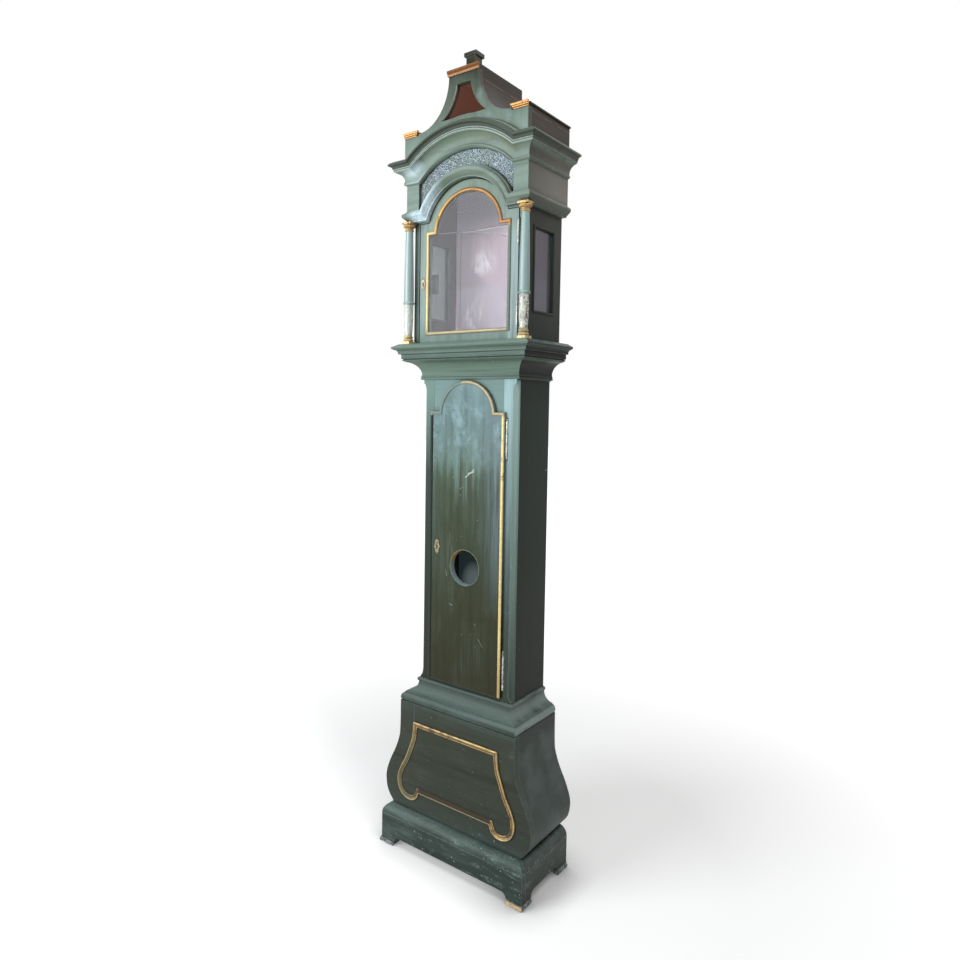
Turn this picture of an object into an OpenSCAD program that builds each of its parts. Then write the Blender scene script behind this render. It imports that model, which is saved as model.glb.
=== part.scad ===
// Longcase clock: a painted case with a swelling base, an arched trunk door and a lift-off hood.
// x runs to the right, y to the back and z up, with the origin on the floor below the middle.
// Depths are measured forward from the back of the case, and heights up from the floor.

/* [Plinth] */
// Half of the plinth's width
plinth_half = 266; // [256:1:272]
// How far the plinth stands out in front of the base
plinth_projection = 29; // [24:0.5:33]
// Thickness of the foot pads
pad_height = 13; // [8:1:20]
// Side of a square foot pad
pad_side = 58; // [45:1:66]
// How far a foot pad stands out of the plinth
pad_proud = 6; // [2:1:8]
// Height at which the flat plinth boards end
plinth_top = 95; // [80:1:105]
// Height of the cut-out between the feet, above the pads
apron_rise = 16; // [8:1:22]
// Thickness of the plinth boards
plinth_board = 22; // [16:1:26]
// Height of the rounded moulding on the plinth
plinth_moulding_height = 29; // [24:1:34]
// How far that moulding draws in
plinth_moulding_draw = 27; // [20:1:32]

/* [Base] */
// How far the flat front of the base stands out in front of the trunk
base_projection = 45; // [40:0.5:48]
// Height of the top of the base
base_top = 469; // [450:1:490]
// Half of the width at the widest place
base_half_widest = 275.5; // [270:0.5:280]
// How far the base's top stands out of the trunk's sides
base_shoulder = 44; // [38:1:48]
// Half of the width at the bottom
base_half_bottom = 240; // [236:1:244]
// Thickness of the shaped boards
base_board = 22; // [16:1:24]
// Width of the gilt panel moulding
panel_moulding_width = 15; // [10:1:18]

/* [Trunk] */
// Half of the trunk's width
trunk_half = 172; // [166:1:178]
// Depth of the trunk at its front frame
trunk_depth = 184; // [178:1:190]
// Thickness of the trunk sides
trunk_board = 18; // [14:1:22]
// Thickness of the trunk's front frame
trunk_frame = 20; // [16:1:24]
// Width of the chamfer along the front corners
chamfer = 11.5; // [6:0.5:14]
// Height of the top of the trunk's front frame
trunk_top = 1562; // [1540:1:1570]
// Thickness of the backboard
back_board = 14; // [10:1:18]
// Half of the backboard's width
backboard_half = 163; // [160:1:165]

/* [Trunk door] */
// Half of the door's width
door_half = 137.3; // [130:0.1:142]
// Height of the bottom edge of the door
door_bottom = 552; // [548:1:575]
// Height of the door's shoulders
door_shoulder = 1392; // [1370:1:1400]
// Radius of the arch of the door
door_arch = 103.4; // [95:0.2:106]
// How far the lip of the door stands in front of the frame
door_lip = 7.2; // [5:0.1:9]
// How far the lip covers the frame
door_cover = 8.3; // [6:0.1:10]
// Thickness of the door behind its lip
door_inner = 14; // [10:1:16]
// Radius of the round hole
hole_radius = 54; // [40:1:60]
// Height of the middle of the round hole
hole_height = 919; // [880:1:960]
// Width of the bead along the door's edge
door_bead = 9.5; // [6:0.5:11]

/* [Hood] */
// Half of the hood's width
hood_half = 202; // [198:1:206]
// How far the hood's front plane stands out in front of the trunk
hood_projection = 18; // [14:0.5:20]
// Thickness of the hood boards
hood_board = 19; // [15:1:21]
// Height of the underside of the hood's base frame
hood_bottom = 1566.3; // [1566.3:0.1:1580]
// Thickness of the hood's base frame
hood_base_thick = 31.7; // [28:0.1:34]
// Travel clearance between the hood and the case
hood_clearance = 2; // [1:0.5:3]
// Height of the middle of the arches
arch_centre = 1923.7; // [1910:0.1:1930]
// Inner radius of the arched moulding over the door
arch_inner = 152.5; // [150:0.5:155]
// Height of the underside of that moulding where it runs level
lower_moulding_z = 1972.5; // [1968:0.5:1976]
// Height of the level cornice's underside
cornice_z = 2084; // [2075:1:2090]
// Radius of the underside of the arched cornice
cornice_arch = 232; // [228:1:236]
// How far the frieze stands out of the hood
frieze_proud = 18.4; // [14:0.2:22]

/* [Hood door] */
// Half of the width of the door
hood_door_half = 179.5; // [178:0.1:180]
// Thickness of the door
hood_door_thick = 22; // [18:1:24]
// Half of the width of the glazed opening
glass_half = 150; // [146:1:152]
// Height of the lower edge of the glazed opening
glass_bottom = 1629; // [1625:1:1640]
// Height of the shoulders of the glazed opening
glass_shoulder = 1934; // [1928:1:1938]
// Radius of the arch of the glazed opening
glass_arch = 121.5; // [118:0.5:124]
// Thickness of the glass
glass_thick = 2.5; // [2:0.1:4]
// Width of the gilt bead round the glass
glass_bead = 10.6; // [8:0.2:12]

/* [Columns] */
// Distance of a column's axis from the middle
column_x = 211; // [210:0.5:213]
// Distance of a column's axis in front of the hood's front plane
column_projection = 15.5; // [15:0.5:18]
// Side of the square block at each end of a column
column_block = 33; // [28:1:33]
// Height of the ring round the column above its foot
column_ring_height = 127; // [110:1:140]
// Radius of the column just under its capital
column_neck = 11.6; // [10:0.2:13]
// Radius of the column just above the ring
column_belly = 15.5; // [14:0.2:16.5]

/* [Pediment] */
// How far the face of the pediment stands out in front of the hood
pediment_projection = 28; // [24:0.5:32]
// Thickness of the pediment board
pediment_board_thick = 18; // [14:1:20]
// Half of the width of the pediment's flat top
pediment_top_half = 53; // [48:1:58]
// Height of the pediment's flat top above the cornice
pediment_rise = 205.4; // [190:0.1:220]
// Width of the pediment's border beside its opening
pediment_border = 30; // [26:0.5:33]
// Outer face of the side boxes, from the middle
box_outer = 222; // [218:1:226]
// Inner face of the side boxes, from the middle
box_inner = 167; // [160:1:172]
// Height of the side boxes above the cornice
box_rise = 62.4; // [54:0.1:68]
// Height of the gilt caps
cap_height = 15; // [12:1:20]
// Side of the square finial
finial_side = 33; // [26:1:38]
// Height of the finial
finial_height = 56; // [45:1:65]

/* [Hinges and locks] */
// Radius of a hinge's barrel
barrel_radius = 3.5; // [3:0.1:3.6]
// Radius of a hinge pin
pin_radius = 1.6; // [1.2:0.1:1.8]
// Radial clearance of a hinge pin in its barrel
pin_clearance = 0.05; // [0.02:0.01:0.08]
// Thickness of a hinge leaf
leaf = 1.5; // [1.2:0.1:1.5]
// Height of a trunk hinge
trunk_hinge_height = 106; // [90:1:120]
// Height of a hood hinge
hood_hinge_height = 62; // [50:1:75]
// Travel of the hood lock's bolt
hood_bolt_travel = 8; // [6:1:9]

/* [Seat board] */
// Height of the top of the seat board
seat_top = 1628; // [1622:1:1632]
// Thickness of the seat board
seat_thick = 18; // [14:1:20]
// Distance between the two holes for the movement's hooks
seat_hole_spacing = 100; // [80:1:120]
// Radius of those holes
seat_hole = 3; // [2:0.5:4]

/* [Hidden] */

$fn = 48;
green = "darkslategray";
gilt = "goldenrod";
bare_wood = "sienna";
brass = "darkgoldenrod";
iron = "dimgray";
glass_colour = "lightcyan";

// Depths that follow from the trunk's
base_half_top = trunk_half + base_shoulder;
base_depth = trunk_depth + base_projection;
plinth_depth = base_depth + plinth_projection;
hood_depth = trunk_depth + hood_projection;
column_depth = hood_depth + column_projection;
pediment_depth = hood_depth + pediment_projection;

// The overall depth is set by the front feet or the tip of the hood's cornice
cornice_reach = 61.9;
back_y = max(hood_depth + cornice_reach, plinth_depth + pad_proud) / 2;
mitre_gap = 0.3;   // open joint where mouldings meet at a mitre
seam = 0.1;        // joint between boards of one frame
fit_gap = 0.3;     // clearance of a piece in its seat

// Levels that follow from the sizes above
base_bottom = plinth_top + plinth_moulding_height;
base_floor_thick = 18;
trunk_foot = base_top - 47;
waist_z = hood_bottom - 0.3 - 95;
hood_floor = hood_bottom + hood_base_thick;
cornice_top = cornice_z + 77.6;
pediment_top = cornice_top + pediment_rise;
box_top = cornice_top + box_rise;
door_front = trunk_depth + fit_gap + door_lip;
hood_door_front = hood_depth - 1;
hood_door_bottom = hood_floor + 3;
hood_door_top = lower_moulding_z - 7.5;
// Room for the door to swing out through the arched moulding
hood_door_clearance = 3;
hood_door_arch = arch_inner - hood_door_clearance;
pediment_back = pediment_depth - pediment_board_thick;
roof_board = 9;
roof_back = 12;

// Helpers

// A block between two places across, two depths and two heights
module slab(x, d, z)
    translate([x[0], back_y - d[1], z[0]]) cube([x[1] - x[0], d[1] - d[0], z[1] - z[0]]);

// A shape drawn in (x, height) as a board between two depths
module front_board(d)
    translate([0, back_y - d[0], 0]) rotate([90, 0, 0]) linear_extrude(d[1] - d[0]) children();

// A shape drawn in (depth, height) as a board between two places across
module side_board(x)
    translate([x[0], back_y, 0]) rotate([90, 0, 90]) linear_extrude(x[1] - x[0]) mirror([1, 0]) children();

// A shape drawn in (x, depth) as a board between two heights
module level_board(z)
    translate([0, back_y, z[0]]) linear_extrude(z[1] - z[0]) mirror([0, 1]) children();

module both() {
    children();
    mirror([1, 0, 0]) children();
}

module box2(x, y) translate([x[0], y[0]]) square([x[1] - x[0], y[1] - y[0]]);

function arc(c, r, a0, a1, n = 8) =
    [for (i = [0:n]) let (a = a0 + (a1 - a0) * i / n) [c[0] + r * cos(a), c[1] + r * sin(a)]];
function oval(c, rx, ry, a0, a1, n = 10) =
    [for (i = [0:n]) let (a = a0 + (a1 - a0) * i / n) [c[0] + rx * cos(a), c[1] + ry * sin(a)]];
function shift(points, by) = [for (p = points) p + by];
function flip_x(points) = [for (i = [len(points) - 1:-1:0]) [-points[i][0], points[i][1]]];

// A smooth curve through chosen points, each stretch cut into n steps
function spline_point(a, b, c, d, t) =
    0.5 * (2 * b + (c - a) * t + (2 * a - 5 * b + 4 * c - d) * t * t + (3 * b - a - 3 * c + d) * t * t * t);
function smooth(p, n = 5) = concat(
    [for (i = [0:len(p) - 2], k = [0:n - 1])
        spline_point(p[max(i - 1, 0)], p[i], p[i + 1], p[min(i + 2, len(p) - 1)], k / n)],
    [p[len(p) - 1]]);

function unit(v) = v / norm(v);
function left_of(v) = [-v[1], v[0]];
// The sideways direction at a point of a closed path, longer at a corner so that the width is kept
function mitre(path, i) =
    let (n = len(path), into = left_of(unit(path[i] - path[(i + n - 1) % n])),
        middle = unit(into + left_of(unit(path[(i + 1) % n] - path[i]))))
    middle / (middle * into);

// Faces that join n rings of m points each into one skin, with caps on an open run
function skin(n, m, closed) = concat(
    [for (i = [0:n - (closed ? 1 : 2)], k = [0:m - 1]) let (j = (i + 1) % n, l = (k + 1) % m)
        [j * m + k, j * m + l, i * m + l, i * m + k]],
    closed ? [] : [[for (k = [0:m - 1]) k], [for (k = [m - 1:-1:0]) (n - 1) * m + k]]);

// A moulding carried along a closed path in (x, height): its section is given as
// (to the left, forward) from a plane at depth d
module sweep(path, section, d) polyhedron(
    [for (i = [0:len(path) - 1], s = section) let (at = path[i] + mitre(path, i) * s[0])
        [at[0], back_y - d - s[1], at[1]]],
    skin(len(path), len(section), true));

// A moulding that runs level, over a round arch and level again, with its ends mitred for the
// returns along the sides. Each line of the section meets the level part where its own arc does.
module arched_run(section, half, z, radius, d, n = 24) {
    up = swap(section);
    rise = z - arch_centre;
    rings = [for (i = [-1:n + 1], s = up) let (a = asin((rise + s[0]) / (radius + s[0])),
            turn = 180 - a - (180 - 2 * a) * i / n, end = half + s[1] - mitre_gap / 2)
        i < 0 ? [-end, z + s[0]] : i > n ? [end, z + s[0]]
            : [(radius + s[0]) * cos(turn), arch_centre + (radius + s[0]) * sin(turn)]];
    polyhedron([for (i = [0:len(rings) - 1]) [rings[i][0], back_y - d - up[i % len(up)][1], rings[i][1]]],
        skin(n + 3, len(up), false));
}
function swap(points) = [for (i = [len(points) - 1:-1:0]) [points[i][1], points[i][0]]];

// A straight moulding mitred round the front and both sides: its section is (outward, height)
// from a box of the given half width and depth, and is cut off at the walls that it is fixed to.
module front_run(half, front, wall_front, z) {
    reach = 120;
    intersection() {
        side_board([-half - reach, half + reach]) difference() {
            translate([front, 0]) children();
            box2([wall_front - reach, wall_front], z);
        }
        level_board(z) polygon([[-half - reach + mitre_gap / 2, front + reach],
            [half + reach - mitre_gap / 2, front + reach], [half - reach - mitre_gap / 2, front - reach],
            [-half + reach + mitre_gap / 2, front - reach]]);
    }
}

module side_runs(half, front, wall_half, z) {
    reach = 120;
    both() intersection() {
        front_board([0, front + reach]) difference() {
            translate([half, 0]) children();
            box2([wall_half - reach, wall_half], z);
        }
        level_board(z) polygon([[half - reach, 0], [half + reach, 0],
            [half + reach, front + reach - mitre_gap / 2], [half - reach, front - reach - mitre_gap / 2]]);
    }
}

// Sections of the mouldings, as (outward, height above the moulding's foot)

plinth_section = concat([[-48, 0], [0, 0]],
    oval([-plinth_moulding_draw, 0], plinth_moulding_draw, plinth_moulding_height, 12, 90),
    [[-48, plinth_moulding_height]]);

// Astragal, cove and ovolo from the trunk out to the top of the base
base_top_section = concat([[-10, 0], [41.6, 0], [41.6, 2.2]],
    oval([33, 8.5], 11.8, 15.5, -22, 76, 9), [[34.4, 23.9], [34.4, 26.4]],
    arc([36, 58.5], 32, 268, 183, 10), [[3.6, 58.4]], arc([1.5, 65.4], 6.5, -58, 78, 8), [[0, 72.5], [-10, 72.5]]);
base_top_moulding_height = 72.5;

// Bead, cove, small bead and fascia under the hood
waist_section = concat([[-10, 14], [0, 14], [1.6, 15], [4.6, 17.2]], arc([6.8, 21.8], 4.4, -60, 60, 6),
    [[8.6, 26.6], [10.2, 27.2], [10.2, 30.2], [8.2, 30.8], [8.2, 38]], arc([50, 30], 42.6, 169.2, 100.2, 10),
    [[47.6, 73.2], [47.6, 74.6], [52.2, 75.4], [53, 77], [52.2, 78.6], [50.4, 79.2], [50.4, 80.8],
        [55, 81.6], [55, 95], [-10, 95]]);

// Hollow and nose of the hood's base frame
hood_base_section = [[0, 0], [60.5, 0], [62.4, 1], [62.4, 5], [63.4, 8.4], [65.6, 11.2], [69, 13], [72.4, 13.4],
    [72.4, 15], [75.4, 15.4], [77.6, 17.6], [78.3, 20.5], [77.4, 22.2], [60, hood_base_thick],
    [0, hood_base_thick]];

// Moulding over the hood door, which also runs round the arch
lower_section = concat([[0, 0], [15.5, 0], [15.5, 3], [19.4, 6]], arc([21.5, 20], 9, -60, 75, 7),
    [[21.6, 29.4], [21.6, 31.6], [frieze_proud, 33.5], [0, 33.5]]);

// Bead, cove, fillet and crown of the hood's cornice
cornice_section = concat([[0, 0], [frieze_proud, 0], [23.6, 2.4]], arc([22.6, 6], 3.2, -40, 60, 4),
    [[22.8, 9.8], [22.8, 12.6]], arc([49, 14], 26.2, 170, 98, 8), [[45.6, 41.6], [48.2, 41.6], [49.6, 49.2],
        [51.4, 49.2], [51.4, 51.8], [53, 55.6], [57.4, 58], [61.4, 58.4], [cornice_reach, 59.6],
        [61.6, 62.4], [58.4, 66.6], [50, 71.8], [26, 77.6], [0, 77.6]]);

// Plinth

module foot_pads() color("tan") both() for (d = [[0, pad_side], [plinth_depth + pad_proud - pad_side,
        plinth_depth + pad_proud]]) {
    outer = plinth_half + pad_proud;
    worn = 3;
    intersection() {
        front_board(d) polygon([[outer - pad_side + worn, 0], [outer - worn, 0], [outer, 6],
            [outer, pad_height], [outer - pad_side, pad_height], [outer - pad_side, 6]]);
        side_board([outer - pad_side, outer]) polygon([[d[0], 0], [d[1] - worn, 0], [d[1], 6],
            [d[1], pad_height], [d[0], pad_height]]);
    }
}

// The opening between two feet, with rounded upper corners
module apron_cut(half) {
    translate([-half, pad_height - 1]) square([2 * half, apron_rise + 1]);
    for (x = [-half, half]) translate([x, pad_height]) circle(apron_rise);
}

module plinth_front() color(green)
    front_board([plinth_depth - plinth_board, plinth_depth]) difference() {
        box2([-plinth_half, plinth_half], [pad_height, plinth_top]);
        apron_cut(plinth_half + pad_proud - pad_side - apron_rise - 1);
    }

module plinth_sides() color(green)
    both() side_board([plinth_half - plinth_board, plinth_half]) difference() {
        box2([0, plinth_depth - plinth_board], [pad_height, plinth_top]);
        translate([(plinth_depth + pad_proud) / 2, 0])
            apron_cut((plinth_depth + pad_proud) / 2 - pad_side - apron_rise - 1);
    }

module plinth_corner_blocks() color(bare_wood) {
    block = 34;
    outer = plinth_half - plinth_board;
    inner_front = plinth_depth - plinth_board;
    both() for (d = [[0, block], [inner_front - block, inner_front]])
        slab([outer - block, outer], d, [pad_height, plinth_top]);
}

module plinth_moulding() color(green) {
    z = [plinth_top, plinth_top + plinth_moulding_height];
    front_run(plinth_half, plinth_depth, 0, z) translate([0, z[0]]) polygon(plinth_section);
    side_runs(plinth_half, plinth_depth, 0, z) translate([0, z[0]]) polygon(plinth_section);
}

// Base

// The swelling outline of the base's right side, from the bottom up
function between(a, b, share) = a + (b - a) * share;
base_edge = smooth([
    [base_half_bottom, base_bottom],
    [between(base_half_bottom, base_half_widest, 0.52), base_bottom + 20],
    [between(base_half_bottom, base_half_widest, 0.86), base_bottom + 42],
    [base_half_widest, base_bottom + 75],
    [between(base_half_top, base_half_widest, 0.924), base_bottom + 104],
    [between(base_half_top, base_half_widest, 0.68), base_bottom + 141],
    [between(base_half_top, base_half_widest, 0.345), base_bottom + 181],
    [between(base_half_top, base_half_widest, 0.084), base_top - 122],
    [between(base_half_top, base_half_widest, 0.017), base_top - 85],
    [base_half_top, base_top]], 4);

module base_front() color(green)
    front_board([base_depth - base_board, base_depth]) polygon(concat(base_edge, flip_x(base_edge)));

module base_sides() color(green)
    both() front_board([0, base_depth - base_board])
        polygon(concat(base_edge, [for (i = [len(base_edge) - 1:-1:0]) base_edge[i] - [base_board, 0]]));

module base_floor() color(bare_wood) {
    half = base_half_bottom - base_board - fit_gap;
    slab([-half, half], [0, base_depth - base_board], [base_bottom, base_bottom + base_floor_thick]);
}

// Frame that carries the trunk inside the top of the base
module base_top_frame() color(bare_wood) {
    z = [base_top - 22, base_top];
    slab([-trunk_half, trunk_half], [trunk_depth, base_depth - base_board], z);
    both() slab([trunk_half, base_half_top - base_board], [0, base_depth - base_board - seam], z);
}

module base_top_moulding() color(green) {
    z = [base_top, base_top + base_top_moulding_height];
    front_run(trunk_half, trunk_depth, trunk_depth, z) translate([0, z[0]]) polygon(base_top_section);
    side_runs(trunk_half, trunk_depth, trunk_half, z) translate([0, z[0]]) polygon(base_top_section);
}

// Middle line of the gilt panel moulding: level top, swelling sides, scrolled lower corners
panel_top = base_top - 64;
panel_foot = base_bottom + 71;
panel_side = smooth([[152, panel_top], [156, panel_top - 42], [168, panel_top - 78],
    [186, panel_top - 122], [203, panel_top - 152], [214, panel_top - 180], [215, panel_foot + 9],
    [208, panel_foot - 13], [190, panel_foot - 28], [165, panel_foot - 31], [148, panel_foot - 20],
    [139, panel_foot]], 3);

// A step inside, a hollow and a high outer rim
module base_panel_moulding() color(gilt) {
    w = panel_moulding_width / 2;
    sweep(concat(panel_side, flip_x(panel_side)),
        [[-w, 0], [-w, 1.8], [-w * 0.8, 2.8], [-w * 0.6, 2.8], [-w * 0.5, 1.8], [-w * 0.1, 2], [w * 0.3, 3.2],
            [w * 0.5, 5], [w * 0.7, 5.8], [w * 0.9, 5], [w, 3.4], [w, 0]], base_depth);
}

// Backboard

module backboard() color(bare_wood)
    front_board([0, back_board])
        box2([-backboard_half, backboard_half], [base_bottom + base_floor_thick, hood_door_top + 10]);

module backboard_wings() color(bare_wood) {
    top = trunk_foot - 2;
    both() front_board([0, back_board]) difference() {
        intersection() {
            polygon(concat(shift(base_edge, [-base_board - seam, 0]), [[0, base_top], [0, base_bottom]]));
            box2([0, base_half_widest], [base_bottom + base_floor_thick, top]);
        }
        box2([-1, backboard_half + seam], [0, top + 1]);
    }
}

// Trunk

module trunk_sides() color(green) {
    inner = trunk_half - trunk_board;
    both() difference() {
        slab([inner, trunk_half], [0, trunk_depth - trunk_frame], [trunk_foot, seat_top - seat_thick]);
        slab([inner - 1, backboard_half + seam], [-1, back_board + seam], [0, seat_top]);
    }
}

opening_half = door_half - door_cover;
opening_bottom = door_bottom + door_cover;
opening_shoulder = door_shoulder - door_cover;
opening_arch = door_arch - door_cover;
door_centre = door_shoulder - 10;

// Cut along a front corner of the trunk, with rounded ends
module corner_chamfer() {
    deep = chamfer / sqrt(2);
    z = [base_top + base_top_moulding_height + 4, waist_z + 6];
    turn = 26;
    translate([trunk_half, back_y - trunk_depth, 0]) rotate([90, 0, 135]) translate([0, 0, -20])
        linear_extrude(40) polygon(concat([[-1, z[0]], [-1, z[1]]],
            [for (i = [6:-1:0]) let (a = i * 15) [deep * cos(a), z[1] - turn + turn * sin(a)]],
            [for (i = [0:6]) let (a = i * 15) [deep * cos(a), z[0] + turn - turn * sin(a)]]));
}

module trunk_stile() difference() {
    slab([opening_half, trunk_half], [trunk_depth - trunk_frame, trunk_depth], [trunk_foot, trunk_top]);
    corner_chamfer();
}

module trunk_stile_left() color(green) mirror([1, 0, 0]) trunk_stile();

module trunk_stile_right() color(green) difference() {
    trunk_stile();
    for (z = trunk_hinge_heights) {
        at_trunk_hinge(z) hinge_recess(trunk_hinge_height, [0.1, leaf + 0.1]);
        at_trunk_hinge(z) hinge_screw_holes(trunk_hinge_height, 1);
    }
}

module trunk_top_rail() color(green)
    front_board([trunk_depth - trunk_frame, trunk_depth]) difference() {
        box2([-opening_half + seam, opening_half - seam], [opening_shoulder, trunk_top]);
        translate([0, door_centre]) circle(opening_arch, $fn = 96);
    }

module trunk_bottom_rail() color(green)
    slab([-opening_half + seam, opening_half - seam], [trunk_depth - trunk_frame, trunk_depth],
        [trunk_foot, opening_bottom]);

module waist_cornice() color(green) {
    z = [waist_z, waist_z + 95];
    front = trunk_depth - 6;
    front_run(trunk_half, front, trunk_depth, z) translate([0, z[0]]) polygon(waist_section);
    side_runs(trunk_half, front, trunk_half, z) translate([0, z[0]]) polygon(waist_section);
}

// Battens on the trunk sides that hold the hood's side rails down
module hood_runners() color(bare_wood)
    both() slab([trunk_half, hood_half - hood_board - hood_clearance], [back_board + 6, trunk_depth - trunk_frame],
        [hood_floor + 0.7, hood_floor + 11]);

module seat_board() color(bare_wood) difference() {
    slab([-trunk_half, trunk_half], [back_board + 1, 150], [seat_top - seat_thick, seat_top]);
    for (x = [-seat_hole_spacing / 2, seat_hole_spacing / 2])
        translate([x, back_y - 75, seat_top - seat_thick - 1]) cylinder(r = seat_hole, h = seat_thick + 2);
    // slots for the two lines of the weights and the pendulum rod
    both() slab([62, 78], [50, 110], [seat_top - seat_thick - 1, seat_top + 1]);
    slab([-9, 9], [back_board, 45], [seat_top - seat_thick - 1, seat_top + 1]);
}

// Hinges: the pin stands at the origin, the leaves lie to the left, the case leaf behind the door leaf

knuckle_gap = 0.4;
function knuckle(height, i) = [-height / 2 + i * height / 3 + (i > 0 ? knuckle_gap / 2 : 0),
    -height / 2 + (i + 1) * height / 3 - (i < 2 ? knuckle_gap / 2 : 0)];

module hinge_half(height, knuckles, width, leaf_y) difference() {
    union() {
        for (i = knuckles) let (z = knuckle(height, i)) {
            translate([0, 0, z[0]]) cylinder(r = barrel_radius, h = z[1] - z[0]);
            translate([-barrel_radius, leaf_y[0], z[0]])
                cube([barrel_radius, leaf_y[1] - leaf_y[0], z[1] - z[0]]);
        }
        translate([-width, leaf_y[0], -height / 2])
            cube([width - barrel_radius - knuckle_gap, leaf_y[1] - leaf_y[0], height]);
        for (i = knuckles) let (z = knuckle(height, i))
            translate([-width, leaf_y[0], z[0]])
                cube([width - barrel_radius + 0.5, leaf_y[1] - leaf_y[0], z[1] - z[0]]);
    }
    translate([0, 0, -height]) cylinder(r = pin_radius + pin_clearance, h = 2 * height);
    for (z = screw_heights(height)) translate([screw_x, leaf_y[0] - 1, z]) rotate([-90, 0, 0])
        cylinder(r = screw_shank + 0.1, h = leaf + 2);
}

screw_x = -8.2;
screw_shank = 1.4;
screw_length = 12;
door_screw_length = 5;
function screw_heights(height) = [-0.38 * height, 0, 0.38 * height];

module hinge_pin(height) {
    translate([0, 0, -height / 2 - 0.2]) cylinder(r = pin_radius, h = height + 0.4);
    for (s = [-1, 1]) translate([0, 0, s * (height / 2 + 0.2)]) mirror([0, 0, s < 0 ? 1 : 0])
        rotate_extrude() polygon([[0, 0], [2.6, 0], [2.2, 1], [3, 2.6], [2.6, 4.6], [1.2, 6], [0, 6.2]]);
}

// Room for a leaf and the barrel in the wood
module hinge_recess(height, leaf_y, width = 16) {
    translate([-width, leaf_y[0] - 1, -height / 2]) cube([width, leaf_y[1] - leaf_y[0] + 1, height]);
    translate([0, 0, -height / 2 - 8]) cylinder(r = barrel_radius + 0.5, h = height + 16);
}

module hinge_screw_holes(height, way, length = screw_length)
    for (z = screw_heights(height)) translate([screw_x, 0, z]) rotate([-90 * way, 0, 0])
        cylinder(r = screw_shank + 0.05, h = length + 1);

module hinge_screws(height, way, length, face)
    for (z = screw_heights(height)) translate([screw_x, face, z]) rotate([-90 * way, 0, 0])
        cylinder(r = screw_shank, h = length);

trunk_hinge_x = door_half + barrel_radius + 0.5;
trunk_hinge_heights = [633, 1315];
module at_trunk_hinge(z)
    translate([trunk_hinge_x, back_y - trunk_depth - fit_gap / 2, z]) children();
trunk_leaf_width = trunk_hinge_x - opening_half;

module trunk_hinge_case_leaves() color(brass)
    for (z = trunk_hinge_heights) at_trunk_hinge(z)
        hinge_half(trunk_hinge_height, [0, 2], trunk_leaf_width, [0.1, leaf + 0.1]);

module trunk_hinge_pins() color(brass)
    for (z = trunk_hinge_heights) at_trunk_hinge(z) hinge_pin(trunk_hinge_height);

module trunk_hinge_case_screws() color(brass)
    for (z = trunk_hinge_heights) at_trunk_hinge(z)
        hinge_screws(trunk_hinge_height, 1, screw_length, 0.15);

module trunk_door_hinge_leaves() color(brass)
    for (z = trunk_hinge_heights) at_trunk_hinge(z)
        hinge_half(trunk_hinge_height, [1], trunk_leaf_width, [-leaf - 0.1, -0.1]);

module trunk_door_hinge_screws() color(brass)
    for (z = trunk_hinge_heights) at_trunk_hinge(z)
        hinge_screws(trunk_hinge_height, -1, door_screw_length, -0.15);

// Trunk door

// A rectangle with stepped shoulders and a round arch, inset evenly from the given sizes
module arched_outline(half, bottom, shoulder, centre, arch) {
    box2([-half, half], [bottom, shoulder]);
    intersection() {
        translate([0, centre]) circle(arch, $fn = 96);
        box2([-half, half], [shoulder - 20, shoulder + 2 * arch]);
    }
}

module trunk_door_panel() color(green) difference() {
    union() {
        front_board([trunk_depth + fit_gap, door_front])
            arched_outline(door_half, door_bottom, door_shoulder, door_centre, door_arch);
        inset = door_cover + 1.2;
        front_board([trunk_depth - door_inner, trunk_depth + fit_gap])
            arched_outline(door_half - inset, door_bottom + inset, door_shoulder - inset, door_centre,
                door_arch - inset);
    }
    translate([0, back_y, hole_height]) rotate([90, 0, 0]) cylinder(r = hole_radius, h = 400, $fn = 96);
    for (z = trunk_hinge_heights) {
        at_trunk_hinge(z) translate([-16, -leaf - 0.1, -trunk_hinge_height / 2 - fit_gap])
            cube([16, leaf + 0.1 + fit_gap, trunk_hinge_height + 2 * fit_gap]);
        at_trunk_hinge(z) hinge_screw_holes(trunk_hinge_height, -1, door_screw_length);
    }
    front_board([0, 400]) translate([trunk_key_x, trunk_key_z]) keyhole();
}

module keyhole() {
    circle(3);
    box2([-1.5, 1.5], [-9, 0]);
}

// Path of a bead round an arched outline, from the lower left corner, with the outside on its left
function arched_path(half, bottom, shoulder, centre, arch, n = 20) =
    let (a = asin((shoulder - centre) / arch))
    concat([[-half, bottom], [-half, shoulder]], arc([0, centre], arch, 180 - a, a, n),
        [[half, shoulder], [half, bottom]]);

function bead_section(width, proud) =
    concat([[-width / 2, 0]], oval([0, 0.8], width / 2, proud - 0.8, 180, 0, 8), [[width / 2, 0]]);

// The bead stops at the bottom of the door
module trunk_door_bead() color(gilt) {
    in = door_bead / 2 + 0.2;
    intersection() {
        sweep(arched_path(door_half - in, door_bottom - 20, door_shoulder - in, door_centre, door_arch - in),
            bead_section(door_bead, 3.5), door_front);
        slab([-door_half, door_half], [door_front - 1, door_front + 9], [door_bottom + 1, door_shoulder + 200]);
    }
}

trunk_key_x = -106;
trunk_key_z = 972;
lock_width = 46;
lock_height = 60;
lock_thick = 12.5;
door_rear = trunk_depth - door_inner;
trunk_lock_edge = -(opening_half - 3.5);
bolt_height = 16;
bolt_thick = 4;
bolt_gap = 0.3;
bolt_lead = 24;

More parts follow.
